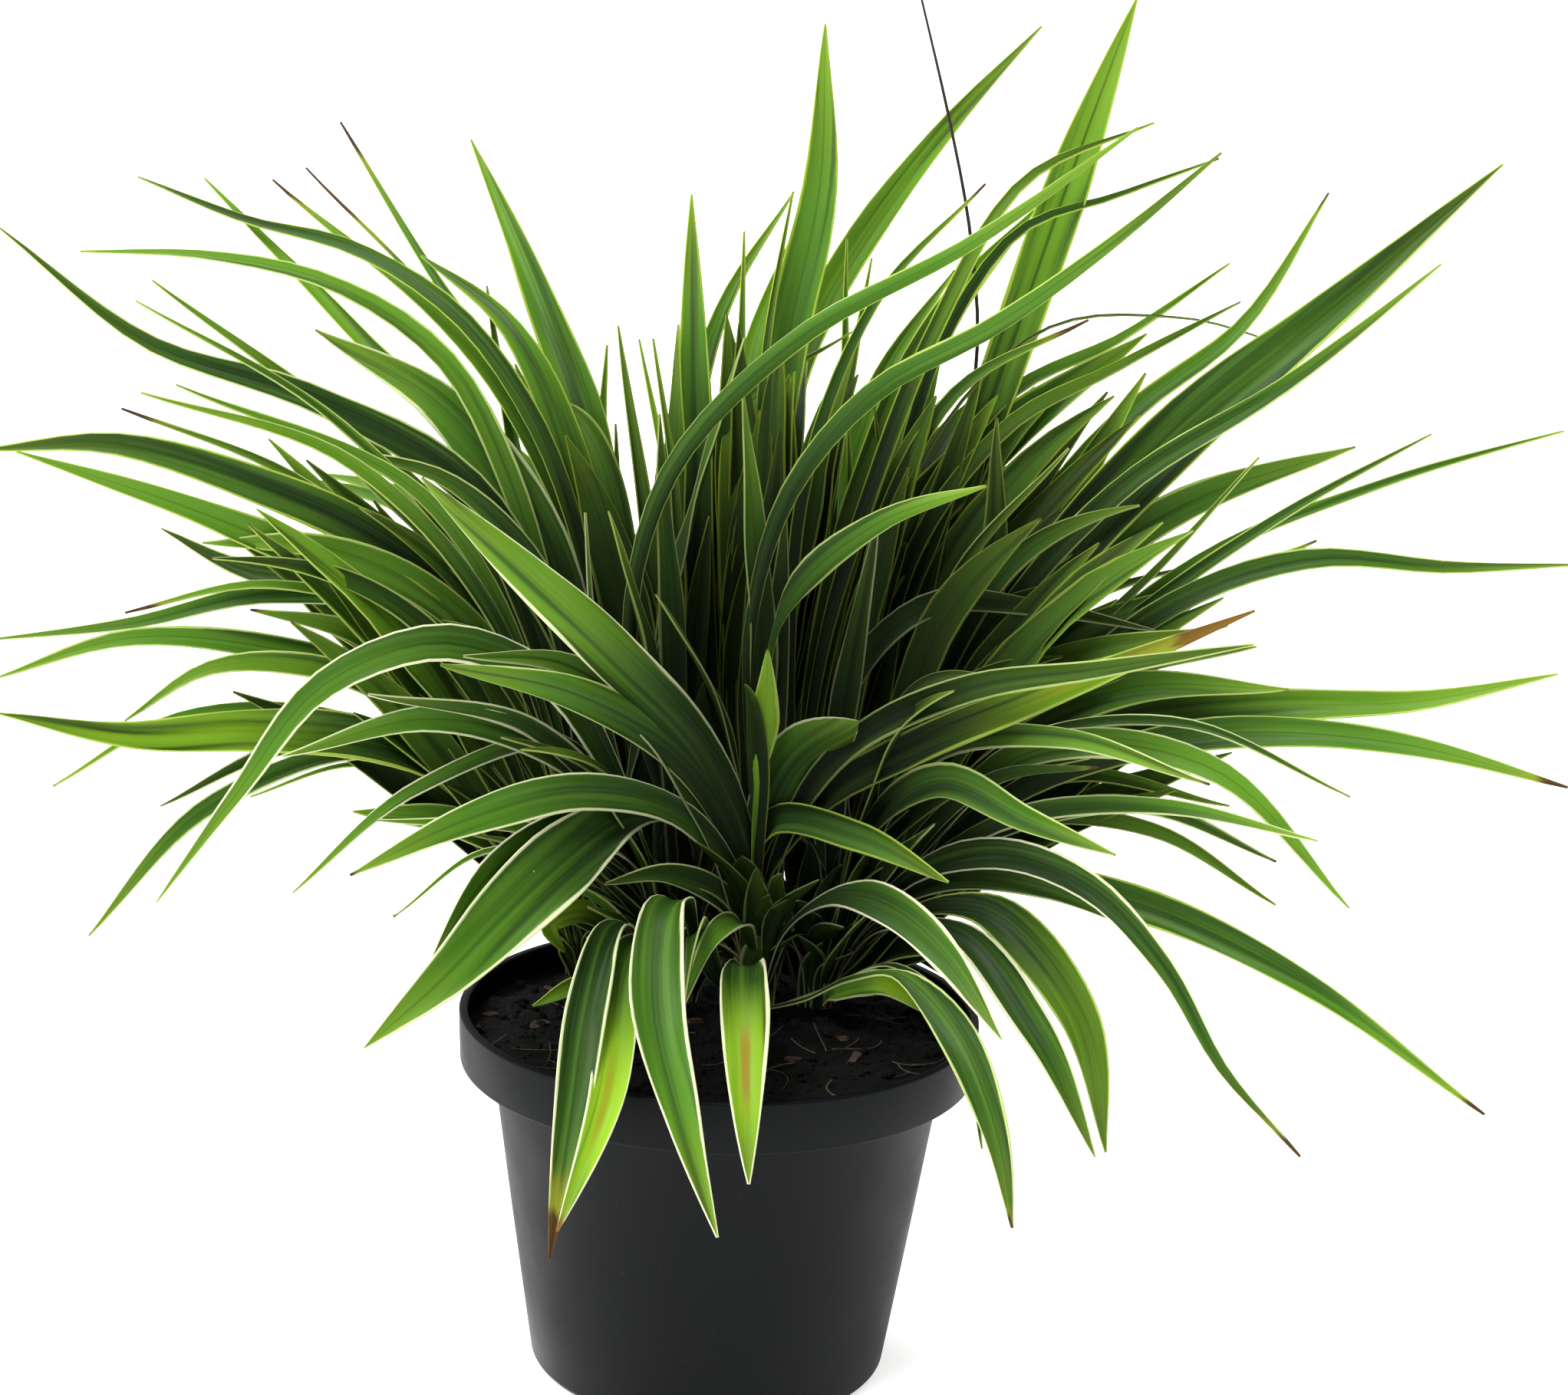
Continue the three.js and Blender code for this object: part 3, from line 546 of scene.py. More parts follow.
crowns["crown_back_right"] = dict(at=(24, 47), roll=48, pale=0.05, margin=0.075, leaves=[
    traced(37, 15, [(31, 103), (69, 199), (110, 295)], full=0.78, point=1.5, tint=0.6),
    traced(48, 1, [(10, 41), (23, 77), (40, 112), (57, 147), (68, 184), (62, 221), (48, 258), (32, 293)],
        roll=35, stalk=1),
    traced(34, 5, [(12, 49), (22, 95), (34, 141), (64, 176), (108, 193), (150, 215)]),
    traced(28, 5.5, [(11, 47), (19, 92), (31, 135), (60, 169), (101, 187), (143, 205)]),
    traced(37, 17, [(5, 65), (23, 124), (69, 164), (124, 193)], full=0.62, point=1.8, tint=0.3, roll=55),
    traced(26, 8, [(19, 49), (42, 92), (70, 132), (103, 169), (142, 198), (169, 239)], full=0.6, point=1.5),
    traced(22, 6.5, [(17, 47), (43, 84), (74, 119), (98, 159)]),
    traced(24, 15, [(17, 54), (45, 98), (77, 140), (105, 185)], tint=0.3),
    traced(32, 1, [(11, 57), (18, 111), (32, 163), (72, 198), (126, 200), (179, 187)], stalk=0.6),
    traced(32, 4, [(9, 42), (14, 80), (20, 119), (29, 157), (41, 194), (64, 225), (101, 237), (138, 248)]),
    traced(55, 4, [(36, 122), (66, 214)]),
    traced(40, 4, [(-5, 55), (-9, 107), (-5, 159), (17, 207), (57, 240)], dry=0.04),
    traced(30, 5.5, [(-3, 53), (0, 104), (14, 153), (34, 200), (62, 241), (109, 259)]),
    traced(48, 12, [(-3, 55), (3, 107), (21, 156), (50, 199), (92, 231)], full=0.7, point=1.6),
    traced(20, 5.5, [(11, 49), (11, 95), (17, 142), (39, 181), (81, 202)], roll=65, dry=0.05),
    traced(50, 3.5, [(-4, 38), (7, 72), (22, 105), (29, 140), (21, 175)], roll=35, dim=0.2),
    traced(16, 9.5, [(14, 60), (26, 118)], dim=0.5, roll=60),
    traced(240, 15, [(6, 28), (16, 50)], roll=0, dim=0.9, sheath=1),
    traced(28, 12.5, [(22, 54), (38, 107), (54, 160)], roll=55, full=0.5, point=1.4, dim=0.62, tint=0.15),
    traced(30, 13, [(22, 48), (31, 95), (40, 142), (53, 189)],
        roll=55, full=0.55, point=1.5, dim=0.35, tint=0.2),
], sprouts=dict(count=5, heading=(24, 60), reach=(60, 160), rise=(60, 170), width=(6, 11)),
   filling=dict(count=26, heading=(10, 62), reach=(20, 100), rise=(90, 185), width=(12, 18)))

crowns["crown_back"] = dict(at=(4, 54), roll=0, pale=0.05, margin=0.075, leaves=[
    traced(78, 14, [(10, 51, -4), (18, 99, -7), (30, 146, -7), (46, 192, -4), (64, 236, 1), (78, 283, -2)],
        roll=10, full=0.74, point=1.5, tint=0.45),
    traced(112, 11, [(8, 62, -7), (17, 121, -12), (34, 177, -9), (60, 231, -2)],
        roll=20, full=0.7, point=1.5, tint=0.55),
    traced(72, 3.5, [(6, 63, -2), (15, 122, -7), (30, 179, -11), (55, 233, -11)], roll=15),
    traced(92, 4, [(9, 78, -2), (25, 151, -5), (50, 221, -6)]),
    traced(66, 4, [(16, 59, 0), (37, 113, 1), (61, 165, -1), (84, 217, -11)], roll=20),
    traced(80, 4.5, [(17, 75, 8), (41, 145, 15), (70, 213, 20)], roll=10),
    traced(300, 10, [(6, 110), (12, 170)]),
    traced(62, 12.5, [(2, 44, 4), (19, 82, 1), (45, 113, -5), (74, 142, -10), (100, 175, -9), (124, 206, 2)],
        roll=30, full=0.6, point=1.6),
    traced(100, 8.5, [(-2, 45, -2), (8, 86, -8), (26, 124, -13), (47, 161, -12), (66, 197, -1),
                      (80, 231, 21)], roll=10),
    traced(84, 11, [(1, 51, 5), (15, 96, 0), (38, 138, -7), (63, 180, -10), (84, 222, 0)],
        full=0.65, point=1.6),
    traced(90, 12.5, [(5, 46, -9), (15, 88, -21), (30, 129, -25), (47, 166, -9), (58, 191, 27)],
        full=0.5, point=1.4, dim=0.2),
    traced(70, 3, [(1, 39, 7), (11, 73, 13), (28, 106, 14), (48, 136, 8), (64, 168, 2)], roll=20, dim=0.2),
    traced(64, 3.5, [(1, 34, 3), (7, 63, 13), (19, 91, 20), (35, 117, 17), (51, 142, 7), (64, 169, -2)],
        roll=25, dim=0.2),
    traced(55, 11.5, [(7, 45, 5), (21, 82, -8), (41, 115, -27), (62, 149, -41), (84, 185, -45),
                      (106, 220, -36), (127, 253, -20), (150, 284, -2)],
        roll=35, full=0.72, point=1.5, tint=0.55),
    traced(262, 16, [(5, 30), (10, 62)], roll=0, dim=0.9, sheath=1),
    traced(235, 16, [(8, 30), (20, 55)], roll=0, dim=0.9, sheath=1),
], sprouts=dict(count=9, heading=(62, 106), reach=(60, 185), rise=(50, 190), width=(7, 12.5)),
   filling=dict(count=30, heading=(50, 114), reach=(10, 56), rise=(95, 200), width=(12, 18)))

crowns["crown_back_left"] = dict(at=(-18, 50), roll=45, pale=0.1, margin=0.075, leaves=[
    traced(155, 6, [(11, 44), (20, 85), (31, 125), (48, 163), (76, 194), (113, 211), (155, 217), (195, 227)],
        roll=55),
    traced(152, 5.5, [(23, 96), (71, 177), (150, 229)], dry=0.05),
    traced(146, 2, [(23, 96), (72, 177), (150, 232)], dry=0.1),
    traced(141, 4, [(12, 61), (31, 116), (64, 165), (107, 204), (148, 246)], dry=0.06),
    traced(154, 7, [(19, 75), (55, 139), (113, 184), (172, 228)]),
    traced(131, 14.5, [(16, 56), (26, 109), (42, 160), (75, 203), (111, 243)],
        full=0.62, point=1.3, glow=0, tint=0.75),
    traced(144, 5.5, [(12, 37), (28, 70), (46, 100), (61, 133), (70, 167), (78, 202)]),
    traced(118, 6.5, [(16, 39), (33, 74), (49, 109), (59, 147), (56, 185)],
        roll=20, full=0.6, point=1.4, glow=0.5),
    traced(112, 5.5, [(14, 68), (32, 132), (63, 190)], roll=15),
    traced(124, 3.5, [(0, 51), (-2, 99), (3, 147), (19, 192)], roll=25),
    traced(100, 11, [(8, 120), (20, 196)]),
    traced(60, 10, [(6, 90), (16, 140)]),
    traced(146, 12, [(14, 42), (23, 81), (30, 121), (42, 159), (66, 191), (102, 209)], full=0.6, point=1.6),
    traced(138, 11, [(16, 49), (28, 95), (46, 139), (73, 178)], full=0.6, point=1.7, glow=1),
    traced(118, 4.5, [(11, 44), (25, 83), (40, 122), (48, 162)], roll=25, glow=0.4),
    traced(108, 3.5, [(13, 51, 6), (34, 95, 12), (57, 139, 12), (76, 184, 6)], roll=15, glow=0.4),
    traced(250, 15, [(5, 28), (12, 55)], roll=0, dim=0.9, sheath=1),
    traced(310, 15, [(6, 28), (14, 52)], roll=0, dim=0.9, sheath=1),
    traced(190, 14, [(6, 25), (18, 45)], roll=0, dim=0.9, sheath=1),
    traced(300, 14, [(3, 34, -1), (8, 64, -3), (12, 94, -3)], roll=-30, dim=0.9),
], sprouts=dict(count=7, heading=(110, 154), reach=(50, 160), rise=(50, 180), width=(6, 11)),
   filling=dict(count=20, heading=(108, 154), reach=(25, 90), rise=(85, 170), width=(11, 17)))

drawState = 20261


def draw(low, high):  # the same seeded draws as the solids have
    global drawState
    drawState = drawState * 16807 % 2147483647
    return low + (high - low) * drawState / 2147483647


def sproutLeaves(values):
    leaves = []
    step = (values["heading"][1] - values["heading"][0]) / values["count"]
    for i in range(values["count"]):
        facing = values["heading"][0] + step * (i + draw(0.2, 0.8))
        far = draw(*values["reach"])
        high = draw(*values["rise"])
        elbow = (far * draw(0.2, 0.4), high * draw(0.75, 1.05))
        # Sprouts carry a little painted shade (dim)
        leaves.append((facing, draw(*values["width"]), [elbow, (far, high)], {"pale": 0.2, "dim": 0.2}))
    return leaves


def heartLeaves(values, crown, luck):  # short inner leaves and sheaths, too small for the solids
    leaves = []
    for i in range(values["sheaths"]):
        facing = 360 * (i + luck.uniform(0, 0.6)) / values["sheaths"]
        high = luck.uniform(*values["sheathRise"])
        width = luck.uniform(*values["sheathWidth"])
        line = [(5, high * 0.7), (luck.uniform(*values["sheathReach"]), high)]
        leaves.append((facing, width, line, {"sheath": 1}))
    for i in range(values["inner"]):
        facing = luck.uniform(0, 360)
        high = luck.uniform(*values["innerRise"])
        far = luck.uniform(*values["innerReach"])
        line = [(far * 0.3, high * 0.8), (far, high)]
        width = luck.uniform(*values["innerWidth"])
        leaves.append((facing, width, line, {"roll": luck.uniform(-30, 40)}))
    filling = crown["filling"]
    for i in range(filling["count"]):
        facing = luck.uniform(*filling["heading"])
        far = luck.uniform(*filling["reach"])
        high = luck.uniform(*filling["rise"])
        elbow = (far * luck.uniform(0.25, 0.5), high * luck.uniform(0.6, 0.85))
        # Filling leaves carry a random share of painted shade (dim)
        looks = {
            "roll": crown["roll"] + luck.uniform(*values["fillingRoll"]), "pale": crown["pale"] * 0.4,
            "dim": luck.uniform(0, 0.6),
        }
        leaves.append((facing, luck.uniform(*filling["width"]), [elbow, (far, high)], looks))
    return leaves


heart = {
    "sheaths": 11,
    "sheathRise": (20, 44),    # mm
    "sheathReach": (6, 18),
    "sheathWidth": (10, 15),
    "inner": 8,
    "innerRise": (28, 62),     # mm
    "innerReach": (8, 26),
    "innerWidth": (5, 9),
    "fillingRoll": (-25, 15),  # degrees more than the crown's own
    # The rest paints shade into the leaves' colour, darkest deep in the clump
    "middle": (20, 50, 165),   # of the painted shade inside the clump
    "size": (150, 92, 148),
    "fade": (0.42, 1.12),      # from the darkest to none, in shares of that size
    "darkest": 0.92,
    "footDark": 0.7,           # share of its light that painted shade takes from a leaf near its own foot
    "footFade": 80,            # mm along the leaf
}


def makeLeafBlank(across, along):
    pickNothing()
    bpy.ops.mesh.primitive_grid_add(x_subdivisions=across, y_subdivisions=along, size=1)
    blank = bpy.context.object
    blank.name = "leafBlank"
    blank.data.uv_layers[0].name = "bladeShare"
    blank.data.uv_layers.new(name="bladeSize")
    for name in bladeFacts:
        blank.data.attributes.new(name, "FLOAT", "POINT")
    return blank


def smoothStep(value, low, high):
    share = np.clip((value - low) / (high - low), 0, 1)
    return share * share * (3 - 2 * share)


def halfWidth(width, share, rootWidth, looks):
    at = looks.get("full", blade["fullWidthAt"])
    grown = rootWidth + (1 - rootWidth) * smoothStep(share, looks.get("stem", 0) * at, at)
    narrowed = np.clip((share - at) / (1 - at), 0, 1) ** looks.get("point", blade["pointPower"])
    return 0.5 * np.where(share < at, width * grown, width - (width - blade["tipWidth"]) * narrowed)


def archLine(points, share):  # a curve from the root round its corner to its tip
    root, elbow, tip = points
    pull = blade["elbowPull"]
    first, second = root + (elbow - root) * pull, tip + (elbow - tip) * pull
    s = np.clip(share, 0, 1)[:, None]
    return (1 - s) ** 3 * root + 3 * (1 - s) ** 2 * s * first + 3 * (1 - s) * s ** 2 * second + s ** 3 * tip


def tracedLine(points, share):  # a smooth curve through all its points, even along its length
    steps = np.linalg.norm(np.diff(points, axis=0), axis=1)
    knots = np.concatenate([[0], np.cumsum(steps)]) / steps.sum()
    gaps = np.diff(knots)[:, None]
    rates = np.diff(points, axis=0) / gaps
    before, after = gaps[:-1], gaps[1:]
    middle = (rates[:-1] * after + rates[1:] * before) / (after + before)
    slopes = np.vstack([rates[:1], middle, rates[-1:]])
    at = np.clip(share, 0, 1)
    i = np.clip(np.searchsorted(knots, at, side="right") - 1, 0, len(gaps) - 1)
    t, gap = ((at - knots[i]) / gaps[i, 0])[:, None], gaps[i]
    return ((1 + 2 * t) * (1 - t) ** 2 * points[i] + t * (1 - t) ** 2 * gap * slopes[i]
            + t * t * (3 - 2 * t) * points[i + 1] + t * t * (t - 1) * gap * slopes[i + 1])


def centreLine(at, leaf, share):  # points and directions in mm; below share 0 they stay at the root
    angle = math.radians(leaf[0])
    out = np.array([math.cos(angle), math.sin(angle), 0])
    level = np.array([math.sin(angle), -math.cos(angle), 0])
    rows = np.array([(*point, 0)[:3] for point in [(footOut, footUp), *leaf[2]]], dtype=float)
    points = np.array([*at, soilLevel]) + rows[:, :1] * out + rows[:, 1:2] * [0, 0, 1] + rows[:, 2:] * level
    draftLine = archLine if len(points) == 3 else tracedLine
    step = 0.004
    places = draftLine(points, share)
    slopes = draftLine(points, share + step) - draftLine(points, share - step)
    slopes /= np.maximum(np.linalg.norm(slopes, axis=1), 1e-9)[:, None]
    length = np.linalg.norm(np.diff(points, axis=0), axis=1).sum()
    return places + np.minimum(share, 0)[:, None] * length * slopes, slopes


# Painted shade: leaf bases deep in the clump are painted nearly black, as are the leaves that stay inside it
def shadeAt(points, length, dim, lit):
    depth = np.linalg.norm((points - heart["middle"]) / heart["size"], axis=1)
    footFade = min(heart["footFade"], 0.4 * length.max())
    footLight = 1 - heart["footDark"] * (1 - smoothStep(length, 5, footFade))
    clear = smoothStep(depth, *heart["fade"]) * footLight
    return heart["darkest"] * np.clip(1 - clear * (1 - dim), 0, 1) * (1 - lit)


def layLeaf(blank, crown, leaf, luck):  # one copy of the blank, laid along its own centre line
    heading, width, _, looks = leaf
    piece = blank.copy()
    piece.data = blank.data.copy()
    bpy.context.collection.objects.link(piece)
    count = len(piece.data.vertices)
    flat = np.empty(count * 3)
    piece.data.vertices.foreach_get("co", flat)
    across = flat[0::3] * 2
    share = (flat[1::3] + 0.5) * (1 + blade["rootDrop"]) - blade["rootDrop"]

    points, slopes = centreLine(crown["at"], leaf, share)
    fine = np.linspace(-blade["rootDrop"], 1, 200)
    finePoints = centreLine(crown["at"], leaf, fine)[0]
    lengths = np.concatenate([[0], np.cumsum(np.linalg.norm(np.diff(finePoints, axis=0), axis=1))])
    length = np.interp(share, fine, lengths)

    # Sideways direction, turned to the light
    angle = math.radians(heading)
    level = np.array([math.sin(angle), -math.cos(angle), 0])
    toLight = -1 if math.cos(angle) < 0 else 1
    twist = np.full(count, math.radians(toLight * looks.get("roll", crown["roll"])))
    square = np.cross(slopes, level)
    side = level * np.cos(twist)[:, None] + square * np.sin(twist)[:, None]
    up = np.cross(side, slopes)

    sheath = looks.get("sheath", 0)
    widthName = "sheathRootWidth" if sheath else "stemWidth" if "stem" in looks else "rootWidth"
    half = halfWidth(width, share, blade[widthName], looks)
    midFold = looks.get("fold", blade["midFold"])
    fold = np.interp(share, [0, 0.12, 0.34, 0.75, 1],
                     [blade["rootFold"], blade["rootFold"] * 0.75, midFold, midFold, blade["tipFold"]])
    if sheath:
        fold = np.full(count, blade["sheathFold"])
    fold = np.radians(fold)
    reach = np.abs(across)
    turns = length / blade["waveLength"] * 2 * math.pi + luck.uniform(0, 6.3)
    wave = np.sin(turns + (across > 0) * luck.uniform(1, 3))
    lift = half * (np.sqrt(reach ** 2 + blade["creaseSoft"]) - math.sqrt(blade["creaseSoft"])) * np.sin(fold)
    lift -= half * blade["halfArch"] * np.sin(math.pi * reach)
    lift += half * blade["waveHeight"] * wave * reach ** 2 * smoothStep(share, 0.1, 0.4)
    bow = luck.uniform(-blade["bow"], blade["bow"]) * np.sin(math.pi * np.clip(share, 0, 1)) ** 2
    points = points + side * (across * half * np.cos(fold) + bow)[:, None] + up * lift[:, None]
    piece.data.vertices.foreach_set("co", (points * mm).ravel())

    facts = {
        "bladeTint": looks.get("tint", luck.random()),
        "bladePale": looks.get("pale", crown["pale"]) * luck.uniform(0.8, 1.1),
        "bladeMargin": looks.get("margin", crown["margin"] * luck.uniform(0.7, 1.25)),
        "bladeSkew": luck.uniform(-0.5, 0.5),
        "bladeDry": looks.get("dry", luck.choice([0, 0, 0, 0.01, 0.02])),
        "bladeGlow": looks.get("glow", luck.choice([0, 0, 0, 0.2])),
        "bladeSore": looks.get("sore", 0),
        "bladeStalk": looks.get("stalk", 0),
        "bladeShade": shadeAt(points, length, looks.get("dim", 0), looks.get("lit", 0)),
    }
    for name, value in facts.items():
        piece.data.attributes[name].data.foreach_set("value", np.full(count, value, dtype=np.float32))

    corners = np.empty(len(piece.data.loops), dtype=np.int32)
    piece.data.loops.foreach_get("vertex_index", corners)
    shift = luck.uniform(0, 5)
    sizes = np.stack([(across * half * mm + shift)[corners], (length * mm)[corners]], axis=1)
    piece.data.uv_layers["bladeSize"].data.foreach_set("uv", sizes.ravel())
    shares = np.stack([((across + 1) / 2)[corners], (length / lengths[-1])[corners]], axis=1)
    piece.data.uv_layers["bladeShare"].data.foreach_set("uv", shares.ravel())
    piece.data.update()
    return piece


def makeCrown(name, crown, fineBlank, plainBlank, material, luck):
    leaves = crown["leaves"] + sproutLeaves(crown["sprouts"])
    inner = heartLeaves(heart, crown, luck)
    pieces = [layLeaf(fineBlank, crown, leaf, luck) for leaf in leaves]
    pieces += [layLeaf(plainBlank, crown, leaf, luck) for leaf in inner]
    clump = joinPieces(name.replace("crown", "leaves"), pieces)
    applyModifier(clump, "SOLIDIFY", thickness=blade["thickness"] * mm, offset=0)
    bpy.ops.object.shade_smooth_by_angle(angle=math.radians(50))
    clump.data.materials.clear()
    clump.data.materials.append(material)
    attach(clump, "root")
    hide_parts(name)
    say("Grown:", name, len(leaves), "leaves and", len(inner), "inner ones")


leafSkin = leafMaterial(leafLook)
leafBlanks = [makeLeafBlank(*blade[cells]) for cells in ("cells", "plainCells")]
leafLuck = random.Random(7)
for crownName, crownValues in crowns.items():
    makeCrown(crownName, crownValues, *leafBlanks, leafSkin, leafLuck)
for leafBlank in leafBlanks:
    bpy.data.objects.remove(leafBlank)


# Pot

potShape = {
    "height": 107,             # mm, all of these
    "rimRadius": 75,
    "collarHeight": 15,
    "collarDraft": 0.6,
    "shoulderRadius": 65.2,
    "baseRadius": 52,
    "baseChamfer": 2,
    "wall": 1.5,
    "lipThickness": 2.6,
    "lipDepth": 3,
    "floor": 2.4,
    "drainHoles": 8,
    "drainHoleRadius": 4.5,
    "drainHoleCircle": 38,
    "grooveDepth": 1,
    "grooveWidth": 5,
    "edgeRadius": 0.7,
    "steps": 144,
}


def potMaterial():
    # Polypropylene with carbon black, injection moulded: a satin skin with a very fine grain, faint
    # flow marks down the wall, and a film of dried peat water and dust that dulls it in patches.
    material, tree = newMaterial("Polypropylene, injection moulded, charcoal")
    place = addNode(tree, "ShaderNodeTexCoord").outputs["Object"]

    patterns = []  # each with its size in mm, its detail and how fast it changes up the wall
    for size, detail, rise in ((34, 5, 1), (9, 3, 0.12), (0.8, 2, 1), (2.2, 4, 1)):
        scale = [part / (size * mm) for part in (1, 1, rise)]
        mapping = addNode(tree, "ShaderNodeMapping", links={"Vector": place, "Scale": scale})
        links = {"Vector": mapping, "Scale": 1, "Detail": detail}
        patterns.append(addNode(tree, "ShaderNodeTexNoise", links=links).outputs["Fac"])
    film, flow, grain, dust = patterns
    filmRamp = addNode(tree, "ShaderNodeValToRGB", links={"Fac": film})
    base = setRamp(filmRamp, [(0.3, "#020304"), (0.55, "#040608"), (0.75, "#080b0d")])
    specks = addNode(tree, "ShaderNodeMapRange", {"interpolation_type": "SMOOTHSTEP"},
                     {"Value": dust, "From Min": 0.66, "From Max": 0.74, "To Max": 0.5})
    links = {0: specks, 6: base, 7: hexColour("#161718")}
    dusty = addNode(tree, "ShaderNodeMix", {"data_type": "RGBA"}, links)
    rough = addNode(tree, "ShaderNodeMapRange",
                    links={"Value": film, "From Min": 0.3, "From Max": 0.7, "To Min": 0.4, "To Max": 0.56})
    height = addNode(tree, "ShaderNodeMath", {"operation": "MULTIPLY_ADD"}, {0: flow, 1: 2.0, 2: grain})
    bump = addNode(tree, "ShaderNodeBump",
                   links={"Height": height.outputs["Value"], "Distance": 0.04 * mm, "Strength": 0.7})
    skin = addNode(tree, "ShaderNodeBsdfPrincipled", links={
        "Base Color": dusty.outputs[2], "Roughness": rough.outputs["Result"], "IOR": 1.49,
        "Specular IOR Level": 0.1, "Normal": bump.outputs["Normal"],
    })
    addNode(tree, "ShaderNodeOutputMaterial", links={"Surface": skin.outputs["BSDF"]})
    return material


def cutWith(piece, cutter):
    applyModifier(piece, "BOOLEAN", object=cutter, operation="DIFFERENCE", solver="EXACT")
    bpy.data.objects.remove(cutter)


def makePot(values):
    p = values
    shoulder = p["height"] - p["collarHeight"]
    ledge = shoulder + p["wall"]
    slope = (p["shoulderRadius"] - p["baseRadius"]) / shoulder
    collarFoot = p["rimRadius"] - p["collarDraft"]
    lipInner = p["rimRadius"] - p["lipThickness"]
    lipFoot = p["height"] - p["lipDepth"]
    profile = [
        (0, 0),
        (p["drainHoleCircle"] * 0.6, 0),
        (p["baseRadius"] - p["baseChamfer"], 0),
        (p["baseRadius"], p["baseChamfer"]),
        (p["baseRadius"] + slope * shoulder * 0.5, shoulder * 0.5),
        (p["shoulderRadius"], shoulder),
        (collarFoot, shoulder),
        (p["rimRadius"], p["height"]),
        (lipInner, p["height"]),
        (lipInner, lipFoot),
        (p["rimRadius"] - p["wall"], lipFoot - (p["lipThickness"] - p["wall"])),
        (collarFoot - p["wall"], ledge),
        (p["baseRadius"] + slope * ledge - p["wall"], ledge),
        (p["baseRadius"] + slope * p["floor"] - p["wall"], p["floor"]),
        (p["drainHoleCircle"] * 0.6, p["floor"]),
        (0, p["floor"]),
    ]
    pot = turnProfile("nurseryPot", profile, p["steps"])
    applyModifier(pot, "BEVEL", width=p["edgeRadius"] * mm, segments=3, limit_method="ANGLE",
                  angle_limit=math.radians(20))
    for i in range(p["drainHoles"]):
        angle = 2 * math.pi * i / p["drainHoles"]
        place = Vector((math.cos(angle), math.sin(angle), 0))
        pickNothing()
        bpy.ops.mesh.primitive_cylinder_add(
            vertices=28, radius=p["drainHoleRadius"] * mm, depth=p["floor"] * 3 * mm,
            location=place * p["drainHoleCircle"] * mm)
        cutWith(pot, bpy.context.object)
        pickNothing()
        length = p["rimRadius"] - p["drainHoleCircle"]
        bpy.ops.mesh.primitive_cube_add(
            size=mm, location=place * (p["drainHoleCircle"] + length / 2) * mm, rotation=(0, 0, angle),
            scale=(length, p["grooveWidth"], p["grooveDepth"] * 2))
        cutWith(pot, bpy.context.object)
    pick(pot)
    bpy.ops.object.shade_smooth_by_angle(angle=math.radians(32))
    pot.data.materials.clear()
    pot.data.materials.append(potMaterial())
    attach(pot, "root")
    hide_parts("pot")
    say("Pot turned")


makePot(potShape)


# Soil

soilShape = {
    "level": soilLevel,        # mm, all of these
    "bottom": 2.7,
    "gap": 0.3,
    "rings": 44,
    "steps": 144,
    "clodSize": 11,
    "clodHeight": 5,
    "crumbSize": 2.6,
    "crumbHeight": 1.6,
    "crumbs": 900,
    "crumbRadius": (0.5, 1.9),
    "bark": 24,
    "scatterRadius": 71,
    "roots": 36,
    "rootRadius": 66,          # where they may start
    "rootLimit": 70,           # where they turn back
}


def soilMaterial():
    # Peat mix, sieved and damp: dark brown crumbs with no gloss except a little on wet grains.
    material, tree = newMaterial("Peat potting mix, damp")
    place = addNode(tree, "ShaderNodeTexCoord").outputs["Object"]

    patterns = []  # each with its size in mm and its detail
    for size, detail in ((3.5, 6), (1.5, 3), (0.9, 5)):
        links = {"Vector": place, "Scale": 1 / (size * mm), "Detail": detail}
        patterns.append(addNode(tree, "ShaderNodeTexNoise", links=links).outputs["Fac"])
    clods, wetness, grain = patterns
    tone = addNode(tree, "ShaderNodeValToRGB", links={"Fac": clods})
    colour = setRamp(tone, [(0.3, "#010101"), (0.52, "#030302"), (0.68, "#070504"), (0.82, "#130e09")])
    rough = addNode(tree, "ShaderNodeMapRange",
                    links={"Value": wetness, "From Min": 0.3, "From Max": 0.7, "To Min": 0.7, "To Max": 0.98})
    bump = addNode(tree, "ShaderNodeBump",
                   links={"Height": grain, "Distance": 0.7 * mm, "Strength": 0.9})
    skin = addNode(tree, "ShaderNodeBsdfPrincipled", links={
        "Base Color": colour, "Roughness": rough.outputs["Result"], "IOR": 1.4, "Specular IOR Level": 0.2,
        "Normal": bump.outputs["Normal"],
    })
    addNode(tree, "ShaderNodeOutputMaterial", links={"Surface": skin.outputs["BSDF"]})
    return material


def fibreMaterial(name, dark, light, grain):
    # Bark and root fibre: dry, torn along the grain, so it is dull and streaked.
    material, tree = newMaterial(name)
    place = addNode(tree, "ShaderNodeTexCoord").outputs["Object"]
    links = {"Vector": place, "Scale": 1 / (grain * mm), "Detail": 4}
    tone = addNode(tree, "ShaderNodeTexNoise", links=links).outputs["Fac"]
    ramp = addNode(tree, "ShaderNodeValToRGB", links={"Fac": tone})
    colour = setRamp(ramp, [(0.3, dark), (0.7, light)])
    bump = addNode(tree, "ShaderNodeBump", links={"Height": tone, "Distance": 0.2 * mm, "Strength": 0.7})
    skin = addNode(tree, "ShaderNodeBsdfPrincipled", links={
        "Base Color": colour, "Roughness": 0.8, "IOR": 1.45, "Normal": bump.outputs["Normal"],
    })
    addNode(tree, "ShaderNodeOutputMaterial", links={"Surface": skin.outputs["BSDF"]})
    return material


def cloudTexture(name, size):
    texture = bpy.data.textures.new(name, "CLOUDS")
    texture.noise_scale = size * mm
    texture.noise_depth = 3
    return texture


